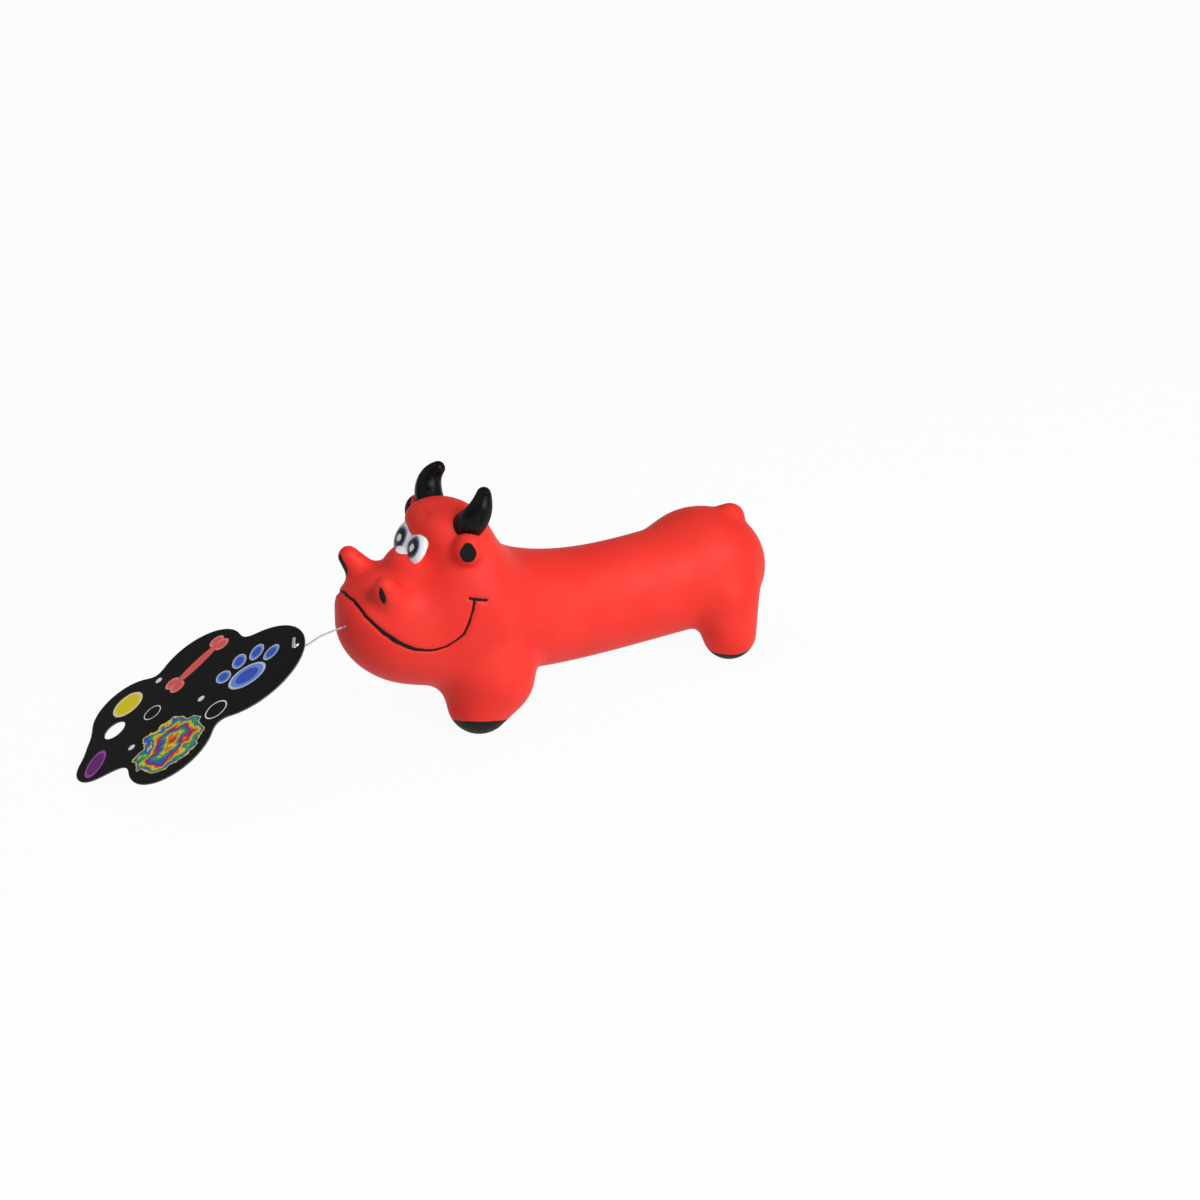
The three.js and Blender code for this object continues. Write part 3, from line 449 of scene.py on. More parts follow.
# Modelling helpers
def aimed(place, way):
    """A place whose Z axis points a way."""
    return Matrix.Translation(place) @ way.to_track_quat("Z", "Y").to_matrix().to_4x4()


def vertex_points(bm):
    return np.array([vert.co for vert in bm.verts])


def set_points(bm, points):
    for vert, point in zip(bm.verts, points.tolist()):
        vert.co = point


def pressed(points, surface, rounds, probe=0.02, stride=1.5, least_slope=0.3):
    """Moves points along a surface's slope until they lie on it."""
    for _ in range(rounds):
        value = surface(points)
        slope = np.column_stack([surface(points + probe * axis) - value for axis in np.eye(3)]) / probe
        steep = np.maximum(np.square(slope).sum(axis=1), least_slope)
        points = points - np.clip(value, -stride, stride)[:, None] * slope / steep[:, None]
    return points


def eased(bm, rounds, factor=0.5):
    """Smooths a mesh evenly."""
    for _ in range(rounds):
        bmesh.ops.smooth_vert(bm, verts=bm.verts, factor=factor, use_axis_x=True, use_axis_y=True,
                              use_axis_z=True)


def moulded(forms, surface, voxel, easing=6, rounds=4):
    """A closed skin: the forms as balls, fused by a voxel remesh, eased and pressed onto a surface."""
    bm = bmesh.new()
    for form in forms:
        form.block_out(bm)
    mesh = bpy.data.meshes.new("rough")
    bm.to_mesh(mesh)
    rough = bpy.data.objects.new("rough", mesh)
    bpy.context.scene.collection.objects.link(rough)
    fuse = rough.modifiers.new("fuse", "REMESH")
    fuse.mode = "VOXEL"
    fuse.voxel_size = voxel
    bm.clear()
    bm.from_object(rough, bpy.context.evaluated_depsgraph_get())
    bpy.data.objects.remove(rough)
    bpy.data.meshes.remove(mesh)
    if not bm.faces:
        raise RuntimeError("the rough forms did not fuse")
    eased(bm, easing)
    set_points(bm, pressed(vertex_points(bm), surface, rounds))
    eased(bm, 2)
    set_points(bm, pressed(vertex_points(bm), surface, 2))
    return bm


def refined(bm, surface, near, reach):
    """Splits the edges that lie near small work and presses the new points down."""
    close = near(vertex_points(bm)) < reach
    bm.verts.index_update()
    edges = [edge for edge in bm.edges if all(close[vert.index] for vert in edge.verts)]
    bmesh.ops.subdivide_edges(bm, edges=edges, cuts=1, use_grid_fill=True)
    wide = [face for face in bm.faces if len(face.verts) > 4]
    bmesh.ops.triangulate(bm, faces=wide)
    set_points(bm, pressed(vertex_points(bm), surface, 2))


def spun(profile, place, axis, steps=48):
    """A turned solid from a closed profile of radius and travel along an axis that is square to X."""
    bm = bmesh.new()
    out, along = Vector((1.0, 0.0, 0.0)), Vector(axis)
    verts = [bm.verts.new(Vector(place) + out * radius + along * travel) for radius, travel in profile]
    edges = [bm.edges.new((first, second)) for first, second in zip(verts, verts[1:])]
    if profile[0][0] > TINY:
        edges.append(bm.edges.new((verts[-1], verts[0])))
    bmesh.ops.spin(bm, geom=verts + edges, cent=place, axis=along, angle=math.tau, steps=steps,
                   use_merge=True)
    bmesh.ops.remove_doubles(bm, verts=bm.verts, dist=WELD)
    bmesh.ops.recalc_face_normals(bm, faces=bm.faces)
    return bm


def rounded(bm, edges, offset, segments):
    """Rounds edges off."""
    bmesh.ops.bevel(bm, geom=edges, offset=offset, affect="EDGES", segments=segments, profile=0.5,
                    material=-1)


def piece(bm, name, materials, body, replaced):
    """Puts a finished mesh in the frame as a piece that rides on a body."""
    bmesh.ops.transform(bm, matrix=TO_FRAME, verts=bm.verts)
    for face in bm.faces:
        face.smooth = True
    mesh = bpy.data.meshes.new(name)
    bm.to_mesh(mesh)
    bm.free()
    for material in materials:
        mesh.materials.append(material)
    made = bpy.data.objects.new(name, mesh)
    bpy.context.scene.collection.objects.link(made)
    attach(made, body)
    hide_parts(*replaced)
    return made


def mark(bm, name, gaps):
    """Keeps a distance on each vertex for the materials to read."""
    layer = bm.verts.layers.float.new(name)
    for vert, gap in zip(bm.verts, gaps.tolist()):
        vert[layer] = gap


def unpainted(bm):
    """Marks bare latex as far from any paint."""
    for name in ("paint_gap", "white_gap"):
        mark(bm, name, np.full(len(bm.verts), FAR_FROM_PAINT))


def squeezed(made):
    """Gives a soft piece a mesh of its own."""
    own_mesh(made)


# Hang card, along and across from its pin hole; its UV map has one unit for this many millimetres
CARD_UV = 100.0
# Lobes that run into each other, each as along, across and radius
CARD_LOBES = (
    (21.0, 1.5, 25.0), (47.0, -21.5, 20.5), (54.5, 27.0, 19.2), (50.0, 0.0, 27.0),
    (74.0, 7.0, 17.0), (80.0, -16.0, 16.5), (89.0, 12.3, 11.0), (86.0, -1.0, 10.5),
)
CARD_BLEND = 7.0
# Its outline is found on rays from a middle, none of them this long
CARD_MIDDLE = np.array((50.0, 0.0))
CARD_REACH = 200.0
CARD_HOLES = ((0.0, 0.0, 1.4), (84.5, -4.7, 4.9))
CARD_ROUND = 0.08
CARD_POINTS, HOLE_POINTS = 180, 40
# Order of its materials
CARD_FRONT, CARD_CUT, CARD_BACK = range(3)
RED, ORANGE, YELLOW, GREEN, BLUE, VIOLET = "#e8334a", "#f28c28", "#f6e04a", "#46b25a", "#3d6fd0", "#7a3fa0"
PINK = "#fb6c68"
# Inks of a motif from its middle to its edge, each from a share of its radius on
RAINBOW_INKS = (
    (0.0, RED), (0.12, ORANGE), (0.2, YELLOW), (0.28, GREEN), (0.38, BLUE), (0.48, VIOLET),
    (0.56, RED), (0.62, ORANGE), (0.68, YELLOW), (0.76, GREEN), (0.84, BLUE), (0.93, YELLOW),
)
PAW_INKS = ((0.0, "#4664d8"), (0.6, "#7ea2f2"), (0.86, "#d8e4fb"))
KNUCKLE_INKS = ((0.0, PINK), (0.7, "#ff9a92"))
BONE_INKS = ((0.0, PINK), (0.9, PINK))
YELLOW_INKS = ((0.0, "#ffe92a"), (0.8, "#fff6b4"))
PLUM_INKS = ((0.0, "#7d2a86"), (0.8, "#a65cb0"))
RING_INKS = ((0.0, "#0d0c0e"), (0.88, "#ffffff"))
DOT_INKS = RING_INKS[1:] * 2
# Each motif of the print: middle, radii, turn in degrees and inks
LOOSE_PATCH = ((55.0, 25.0), (14.5, 14.5), 0.0, RAINBOW_INKS)
CARD_PRINT = (
    LOOSE_PATCH,
    ((22.0, 4.0), (8.5, 6.8), 0.0, PAW_INKS),
    ((11.5, -4.0), (3.3, 4.4), -28.0, PAW_INKS),
    ((18.6, -9.4), (3.3, 4.8), -9.0, PAW_INKS),
    ((26.6, -9.0), (3.3, 4.8), 9.0, PAW_INKS),
    ((33.4, -3.4), (3.3, 4.4), 28.0, PAW_INKS),
    *((middle, (3.4, 3.4), 0.0, KNUCKLE_INKS)
      for middle in ((39.2, -32.4), (36.6, -28.4), (58.6, -17.4), (56.0, -13.4))),
    ((47.6, -22.9), (12.0, 2.8), 37.0, BONE_INKS),
    ((80.0, -18.6), (7.0, 7.0), 0.0, YELLOW_INKS),
    ((91.0, 13.0), (4.2, 7.6), -16.0, PLUM_INKS),
    ((35.0, 17.0), (5.0, 5.0), 0.0, RING_INKS),
    ((66.5, -3.5), (4.0, 4.0), 0.0, RING_INKS),
    *((middle, (1.5, 1.5), 0.0, DOT_INKS) for middle in ((74.0, 14.0), (43.0, 4.0), (66.0, -25.0))),
)


def card_edge(points):
    """Distance from the card's outline, in its own plane."""
    gaps = [np.hypot(points[:, 0] - along, points[:, 1] - across) - radius
            for along, across, radius in CARD_LOBES]
    return reduce(lambda first, second: blended(first, second, CARD_BLEND), gaps)


def card_outline(count, halvings=40):
    """Points where rays from the card's middle leave its outline."""
    turns = np.linspace(0.0, math.tau, count, endpoint=False)
    rays = np.column_stack((np.cos(turns), np.sin(turns)))
    inside, outside = np.zeros(count), np.full(count, CARD_REACH)
    for _ in range(halvings):
        middle = (inside + outside) / 2
        within = card_edge(rays * middle[:, None] + CARD_MIDDLE) < 0
        inside, outside = np.where(within, middle, inside), np.where(within, outside, middle)
    return rays * inside[:, None] + CARD_MIDDLE


def card_matrix():
    """The card's place: it leans from its pin hole until its outline meets the floor."""
    card = bpy.context.scene.bull_card
    hole = FROM_FRAME @ Vector(JOINTS["tag_swing"]["pos_m"])
    cos, sin = math.cos(card.turn), math.sin(card.turn)
    outline = card_outline(CARD_POINTS // 3)
    reach = float((outline[:, 0] * cos - outline[:, 1] * sin).max())
    pitch = math.asin(hole.z / reach)
    yaw = (math.cos(card.yaw), math.sin(card.yaw))
    down = Vector((-yaw[0] * math.cos(pitch), yaw[1] * math.cos(pitch), -math.sin(pitch)))
    level = Vector((-yaw[1], -yaw[0], 0.0))
    along = down * cos + level * sin
    across = level * cos - down * sin
    turned = Matrix((along, across, along.cross(across))).transposed().to_4x4()
    return Matrix.Translation(hole) @ turned


# Material helpers
def linear(colour):
    """Linear colour from an sRGB hex value."""
    shares = [int(colour[i:i + 2], 16) / 255 for i in (1, 3, 5)]
    steps = [share / 12.92 if share <= 0.04045 else ((share + 0.055) / 1.055) ** 2.4 for share in shares]
    return (*steps, 1.0)


def opaque(colour):
    """A colour of the settings as a socket takes it."""
    return (*colour, 1.0)


def per_metre(size_mm):
    """Scale of a pattern on coordinates in metres, from the size of its features."""
    return 1.0 / (size_mm * MM)


def add_node(tree, kind, inputs=None, stops=None, **settings):
    """Adds a node with its settings, its ramp's colour stops, and its inputs' links or values."""
    made = tree.nodes.new(kind)
    for name, value in settings.items():
        setattr(made, name, value)
    for socket, value in (inputs or {}).items():
        if isinstance(value, bpy.types.NodeSocket):
            tree.links.new(value, made.inputs[socket])
        else:
            made.inputs[socket].default_value = value
    for index, (position, colour) in enumerate(stops or ()):
        elements = made.color_ramp.elements
        stop = elements[index] if index < 2 else elements.new(position)
        stop.position, stop.color = position, colour
    return made


def new_material(name, values=None):
    """A material with nothing but its Principled shader and that shader's values, wired to the output."""
    made = bpy.data.materials.new(name)
    made.use_nodes = True
    tree = made.node_tree
    tree.nodes.clear()
    shader = add_node(tree, "ShaderNodeBsdfPrincipled", values)
    add_node(tree, "ShaderNodeOutputMaterial", {"Surface": shader.outputs["BSDF"]})
    return made, tree, shader


def mottled(name, size_mm, tones, values, relief=None, **noise):
    """A material with two tones in clouds of a size, and relief of a strength and depth where it has one."""
    made, tree, shader = new_material(name, values)
    place = add_node(tree, "ShaderNodeTexCoord").outputs["Object"]
    clouds = add_node(tree, "ShaderNodeTexNoise",
                      {"Vector": place, "Scale": per_metre(size_mm), **noise}).outputs["Fac"]
    tone = add_node(tree, "ShaderNodeValToRGB", {"Fac": clouds},
                    [(position, linear(colour)) for position, colour in tones])
    tree.links.new(tone.outputs["Color"], shader.inputs["Base Color"])
    if relief:
        strength, depth_mm = relief
        bump = add_node(tree, "ShaderNodeBump",
                        {"Height": clouds, "Strength": strength, "Distance": depth_mm * MM})
        tree.links.new(bump.outputs["Normal"], shader.inputs["Normal"])
    return made


def wavering(tree, mark_name, noise, spread, waver_mm):
    """A marked distance that wavers by a length to and fro as a noise goes over its spread."""
    marked = add_node(tree, "ShaderNodeAttribute", attribute_name=mark_name).outputs["Fac"]
    shift = add_node(tree, "ShaderNodeMapRange",
                     {"Value": noise, "From Min": 0.5 - spread, "From Max": 0.5 + spread,
                      "To Min": -waver_mm, "To Max": waver_mm})
    return add_node(tree, "ShaderNodeMath", {0: marked, 1: shift.outputs["Result"]},
                    operation="ADD").outputs[0]


def slush_moulded_latex():
    """Slush-moulded latex is satin, with soft broad highlights; its dye pools a little in broad clouds, and
    its black details are brushed on by hand, so their edges waver and they are duller than the rubber."""
    colours = bpy.context.scene.bull_colours
    made, tree, shader = new_material("slush_moulded_latex", {"Specular IOR Level": 0.2, "IOR": 1.52})
    place = add_node(tree, "ShaderNodeTexCoord").outputs["Object"]
    clouds = add_node(tree, "ShaderNodeTexNoise",
                      {"Vector": place, "Scale": per_metre(24.0), "Detail": 3.0,
                       "Roughness": 0.55}).outputs["Fac"]
    dye = add_node(tree, "ShaderNodeValToRGB", {"Fac": clouds},
                   [(0.3, opaque(colours.latex_deep)), (0.7, opaque(colours.latex))])
    strokes = add_node(tree, "ShaderNodeTexNoise",
                       {"Vector": place, "Scale": per_metre(2.2), "Detail": 2.0,
                        "Roughness": 0.6}).outputs["Fac"]
    paint = add_node(tree, "ShaderNodeMapRange",
                     {"Value": wavering(tree, "paint_gap", strokes, 0.25, 0.16),
                      "From Min": -0.14, "From Max": 0.12, "To Min": 1.0, "To Max": 0.0},
                     interpolation_type="SMOOTHSTEP").outputs["Result"]
    colour = add_node(tree, "ShaderNodeMix",
                      {"Factor": paint, "A": dye.outputs["Color"], "B": opaque(colours.black)},
                      data_type="RGBA")
    patch = add_node(tree, "ShaderNodeAttribute", attribute_name="white_gap").outputs["Fac"]
    patch = add_node(tree, "ShaderNodeMapRange",
                     {"Value": patch, "From Min": -0.15, "From Max": 0.15, "To Min": 1.0, "To Max": 0.0})
    colour = add_node(tree, "ShaderNodeMix",
                      {"Factor": patch.outputs["Result"], "A": colour.outputs["Result"],
                       "B": opaque(colours.eye_white)}, data_type="RGBA")
    tree.links.new(colour.outputs["Result"], shader.inputs["Base Color"])
    rough = add_node(tree, "ShaderNodeMapRange", {"Value": paint, "To Min": 0.55, "To Max": 0.65})
    tree.links.new(rough.outputs["Result"], shader.inputs["Roughness"])
    # The mould's own grain, about half a millimetre across, is drawn a little coarser to show
    grain = add_node(tree, "ShaderNodeTexNoise",
                     {"Vector": place, "Scale": per_metre(0.8), "Detail": 2.0}).outputs["Fac"]
    bump = add_node(tree, "ShaderNodeBump", {"Height": grain, "Strength": 0.12, "Distance": 0.05 * MM})
    dents = add_node(tree, "ShaderNodeBump",
                     {"Height": clouds, "Strength": 0.25, "Distance": 0.8 * MM,
                      "Normal": bump.outputs["Normal"]})
    tree.links.new(dents.outputs["Normal"], shader.inputs["Normal"])
    return made


def brushed_black_paint():
    """Thick black paint laid on by brush is glossy but uneven, so its highlights break into streaks."""
    black = opaque(bpy.context.scene.bull_colours.black)
    made, tree, shader = new_material("brushed_black_paint", {"Specular IOR Level": 0.1})
    place = add_node(tree, "ShaderNodeTexCoord").outputs["Object"]
    # Brush marks run up the horn, about 1.3 mm wide and 6 mm long
    stretch = add_node(tree, "ShaderNodeMapping", {"Vector": place, "Scale": (1.0, 1.0, 0.22)})
    marks = add_node(tree, "ShaderNodeTexNoise",
                     {"Vector": stretch.outputs["Vector"], "Scale": per_metre(1.3),
                      "Detail": 3.0}).outputs["Fac"]
    tone = add_node(tree, "ShaderNodeValToRGB", {"Fac": marks}, [(0.35, black), (0.8, linear("#1a1918"))])
    tree.links.new(tone.outputs["Color"], shader.inputs["Base Color"])
    gloss = add_node(tree, "ShaderNodeMapRange",
                     {"Value": marks, "From Min": 0.3, "From Max": 0.7, "To Min": 0.18, "To Max": 0.42})
    tree.links.new(gloss.outputs["Result"], shader.inputs["Roughness"])
    bump = add_node(tree, "ShaderNodeBump", {"Height": marks, "Strength": 0.6, "Distance": 0.25 * MM})
    tree.links.new(bump.outputs["Normal"], shader.inputs["Normal"])
    return made


def painted_eye():
    """Raised white latex painted in coats: glint, pupil, iris and white meet in soft, slightly wavy rings."""
    colours = bpy.context.scene.bull_colours
    eyes = bpy.context.scene.bull_eyes
    made, tree, shader = new_material("painted_eye", {"Roughness": 0.32})
    place = add_node(tree, "ShaderNodeTexCoord").outputs["Object"]
    strokes = add_node(tree, "ShaderNodeTexNoise",
                       {"Vector": place, "Scale": per_metre(1.5), "Detail": 2.0}).outputs["Fac"]
    widest = eyes.iris_radius / MM * 1.5
    share = add_node(tree, "ShaderNodeMath", {0: wavering(tree, "iris_gap", strokes, 0.2, 0.12), 1: widest},
                     operation="DIVIDE")
    sizes = (eyes.glint_radius, eyes.pupil_radius, eyes.iris_radius)
    glint, pupil, iris = (size / MM / widest for size in sizes)
    white, navy, steel = (opaque(colour) for colour in (colours.eye_white, colours.pupil, colours.iris))
    halo = linear("#c6d8ea")
    soft = 0.025
    # A new ramp has two stops, which become the first and the last
    rings = add_node(tree, "ShaderNodeValToRGB", {"Fac": share.outputs[0]},
                     [(glint - soft, white), (1.0, white), (glint + soft, navy), (pupil - soft, navy),
                      (pupil + soft, steel), (iris - 2 * soft, steel), (iris, halo),
                      (iris + 2 * soft, white)])
    tree.links.new(rings.outputs["Color"], shader.inputs["Base Color"])
    bump = add_node(tree, "ShaderNodeBump", {"Height": strokes, "Strength": 0.2, "Distance": 0.1 * MM})
    tree.links.new(bump.outputs["Normal"], shader.inputs["Normal"])
    return made


def varnished_card():
    """Black offset print under gloss varnish: deep and even, with one broad sheen, and flat bright inks."""
    ground = opaque(bpy.context.scene.bull_card.ground)
    made, tree, shader = new_material("varnished_card", {"Roughness": 0.45, "Specular IOR Level": 0.1})
    flat = add_node(tree, "ShaderNodeUVMap", uv_map="card_mm").outputs["UV"]
    # Ink is a little uneven over the board's fibres, about 0.5 mm apart
    fibres = add_node(tree, "ShaderNodeTexNoise",
                      {"Vector": flat, "Scale": CARD_UV / 0.5, "Detail": 3.0}).outputs["Fac"]
    colour = add_node(tree, "ShaderNodeValToRGB", {"Fac": fibres},
                      [(0.3, ground), (0.75, linear("#151316"))]).outputs["Color"]
    # The loose patch is drawn with a drifting hand, about 5 mm to and fro over 9 mm
    drift_pitch, drift = 9.0, 20.0 / CARD_UV
    clouds = add_node(tree, "ShaderNodeTexNoise",
                      {"Vector": flat, "Scale": CARD_UV / drift_pitch, "Detail": 3.0}).outputs["Color"]
    steps = add_node(tree, "ShaderNodeVectorMath", {0: clouds, 1: (0.5, 0.5, 0.5)}, operation="SUBTRACT")
    loose = add_node(tree, "ShaderNodeVectorMath",
                     {0: steps.outputs["Vector"], 1: (drift, drift, 0.0), 2: flat},
                     operation="MULTIPLY_ADD").outputs["Vector"]
    for motif in CARD_PRINT:
        middle, radii, turn, inks = motif
        local = add_node(tree, "ShaderNodeMapping",
                         {"Vector": loose if motif is LOOSE_PATCH else flat,
                          "Location": (middle[0] / CARD_UV, middle[1] / CARD_UV, 0.0),
                          "Rotation": (0.0, 0.0, math.radians(turn)),
                          "Scale": (radii[0] / CARD_UV, radii[1] / CARD_UV, 1.0)}, vector_type="TEXTURE")
        reach = add_node(tree, "ShaderNodeVectorMath", {0: local.outputs["Vector"]},
                         operation="LENGTH").outputs["Value"]
        coats = add_node(tree, "ShaderNodeValToRGB", {"Fac": reach},
                         [(position, linear(ink)) for position, ink in inks])
        coats.color_ramp.interpolation = "CONSTANT"
        inside = add_node(tree, "ShaderNodeMath", {0: reach, 1: 1.0}, operation="LESS_THAN")
        colour = add_node(tree, "ShaderNodeMix",
                          {"Factor": inside.outputs[0], "A": colour, "B": coats.outputs["Color"]},
                          data_type="RGBA").outputs["Result"]
    tree.links.new(colour, shader.inputs["Base Color"])
    bump = add_node(tree, "ShaderNodeBump", {"Height": fibres, "Strength": 0.08, "Distance": 0.05 * MM})
    tree.links.new(bump.outputs["Normal"], shader.inputs["Normal"])
    return made


def varnished_card_back():
    """The card's plain back: the same black ink under varnish, with no print on it."""
    return mottled("varnished_card_back", 0.6, [(0.3, "#131215"), (0.75, "#211f23")], {"Roughness": 0.4},
                   Detail=3.0)


def cut_board():
    """The die-cut edge of grey board is matt and fibrous."""
    return mottled("cut_board", 0.4, [(0.3, "#4a4849"), (0.7, "#77757a")], {"Roughness": 0.85}, Detail=3.0)


def clear_nylon():
    """Moulded nylon is milky and waxy, with a soft gleam along the strand."""
    return mottled("clear_nylon", 1.5, [(0.3, "#c4c4c2"), (0.7, "#d8d8d6")],
                   {"Roughness": 0.35, "IOR": 1.53, "Transmission Weight": 0.25})


def polyester_fibre():
    """Loose crimped polyester: a matt white fleece of fine strands, with painted shade in the hollows
    between.
    """
    # The grey tone falls in the hollows of the relief, as painted shade
    return mottled("polyester_fibre", 1.2, [(0.35, "#cfccc3"), (0.6, "#f1efe9")],
                   {"Roughness": 0.95, "Sheen Weight": 0.4}, relief=(0.8, 0.6), Detail=6.0, Distortion=2.5)


def blown_polyethylene():
    """Blow-moulded polyethylene is waxy and milky, with faint flow lines round the parison."""
    return mottled("blown_polyethylene", 3.0, [(0.3, "#dadddd"), (0.7, "#eceeee")],
                   {"Roughness": 0.45, "IOR": 1.51}, relief=(0.15, 0.1), Detail=2.0)


class SkinSettings(bpy.types.PropertyGroup):
    """Sizes of the moulded skin."""

    voxel: FloatProperty(name="Mesh size", description="Size of the skin's faces", default=1.15 * MM,
                         unit="LENGTH")
    wall: FloatProperty(name="Wall", description="Thickness of the latex", default=2.2 * MM, unit="LENGTH")
    mouth_lip: FloatProperty(name="Mouth lip", description="Width of the mouth groove beside its paint",
                             default=0.35 * MM, unit="LENGTH")
    mouth_depth: FloatProperty(name="Mouth depth", description="Depth of the mouth groove",
                               default=0.6 * MM, unit="LENGTH")
    front_dip_drop: FloatProperty(name="Front dip", default=6.5 * MM, unit="LENGTH",
                                  description="Drop of the front dip line below the foot's middle")
    far_dip_drop: FloatProperty(name="Far front dip", description="The same drop for the far front foot",
                                default=9.5 * MM, unit="LENGTH")
    front_dip_tilt: FloatProperty(name="Front dip tilt", description="Tilt of the front dip line",
                                  default=math.radians(24.0), subtype="ANGLE")
    front_dip_turn: FloatProperty(name="Front dip turn", description="Turn of the front dip line",
                                  default=math.radians(58.5), subtype="ANGLE")
    rear_dip_height: FloatProperty(name="Rear dip", description="Height of the rear dip line",
                                   default=5.5 * MM, unit="LENGTH")


class EyeSettings(bpy.types.PropertyGroup):
    """Sizes of the painted eyes."""

    gaze_y: FloatProperty(name="Gaze across", description="Iris middle from the middle plane",
                          default=5.3 * MM, unit="LENGTH")
    gaze_z: FloatProperty(name="Gaze height", description="Iris middle above the floor", default=80.75 * MM,
                          unit="LENGTH")
    glint_radius: FloatProperty(name="Glint", description="Radius of the white glint", default=1.4 * MM,
                                unit="LENGTH")
    pupil_radius: FloatProperty(name="Pupil", description="Radius of the pupil", default=3.2 * MM,
                                unit="LENGTH")
    iris_radius: FloatProperty(name="Iris", description="Radius of the iris", default=4.0 * MM,
                               unit="LENGTH")


class PlugSettings(bpy.types.PropertyGroup):
    """Sizes of the belly plug."""

    place_x: FloatProperty(name="Place", description="Distance behind the front hooves", default=62.0 * MM,
                           unit="LENGTH")
    radius: FloatProperty(name="Radius", description="Radius of the plug", default=7.0 * MM, unit="LENGTH")
    flange: FloatProperty(name="Flange", description="Radius of the flange inside", default=9.4 * MM,
                          unit="LENGTH")
    vent: FloatProperty(name="Vent", description="Radius of the vent", default=1.5 * MM, unit="LENGTH")
    gap: FloatProperty(name="Gap", description="Gap round the plug", default=0.3 * MM, unit="LENGTH")
    seat_depth: FloatProperty(name="Seat", description="Depth of the plug's seat", default=2.0 * MM,
                              unit="LENGTH")


class SqueakerSettings(bpy.types.PropertyGroup):
    """Sizes of the bellows, and a squeeze share that no step uses."""

    pleats: IntProperty(name="Pleats", description="Pleats of the bellows", default=3, min=1)
    pleat_depth: FloatProperty(name="Pleat depth", description="Depth of a pleat", default=2.2 * MM,
                               unit="LENGTH")
    wall: FloatProperty(name="Wall", description="Wall of the bellows", default=1.0 * MM, unit="LENGTH")
    skin_keep: FloatProperty(name="Squeeze", description="Share of the toy's width kept when squeezed",
                             default=0.68, subtype="FACTOR")


class CardSettings(bpy.types.PropertyGroup):
    """Sizes and lie of the hang card."""

    thickness: FloatProperty(name="Thickness", description="Thickness of the board", default=0.6 * MM,
                             unit="LENGTH")
    yaw: FloatProperty(name="Yaw", description="Direction that the card leans in",
                       default=math.radians(18.0), subtype="ANGLE")
    turn: FloatProperty(name="Turn", description="Turn of the card in its own plane",
                        default=math.radians(-11.8), subtype="ANGLE")
    ground: FloatVectorProperty(name="Ground", description="Printed ground", default=linear("#0d0c0e")[:3],
                                subtype="COLOR")


class ColourSettings(bpy.types.PropertyGroup):
    """Colours of the latex and its paint."""

    latex: FloatVectorProperty(name="Latex", description="Dyed latex", default=linear("#f83c32")[:3],
                               subtype="COLOR")
    latex_deep: FloatVectorProperty(name="Deep latex", description="Latex where the dye pools",
                                    default=linear("#f03229")[:3], subtype="COLOR")
    black: FloatVectorProperty(name="Black", description="Black paint", default=linear("#0e0d0d")[:3],
                               subtype="COLOR")
    eye_white: FloatVectorProperty(name="Eye white", description="White paint",
                                   default=linear("#fdfdff")[:3], subtype="COLOR")
    pupil: FloatVectorProperty(name="Pupil", description="Navy paint", default=linear("#0c1026")[:3],
                               subtype="COLOR")
    iris: FloatVectorProperty(name="Iris", description="Steel-blue paint", default=linear("#5c7ab2")[:3],
                              subtype="COLOR")


class StageSettings(bpy.types.PropertyGroup):
    """Light and camera of the studio."""

    key_power: FloatProperty(name="Key", description="Power of the key light", default=16.5, unit="POWER")
    fill_power: FloatProperty(name="Fill", description="Power of the fill light", default=3.0, unit="POWER")
    sky: FloatProperty(name="Sky", description="Strength of the soft light all round", default=0.2)
    lens: FloatProperty(name="Lens", description="Focal length", default=72.0, unit="CAMERA")
    distance: FloatProperty(name="Distance", description="Camera from its aim", default=0.96, unit="LENGTH")
    azimuth: FloatProperty(name="Azimuth", description="Camera's turn from the toy's left side",
                           default=math.radians(31.5), subtype="ANGLE")
    elevation: FloatProperty(name="Elevation", description="Camera's height angle",
                             default=math.radians(27.5), subtype="ANGLE")


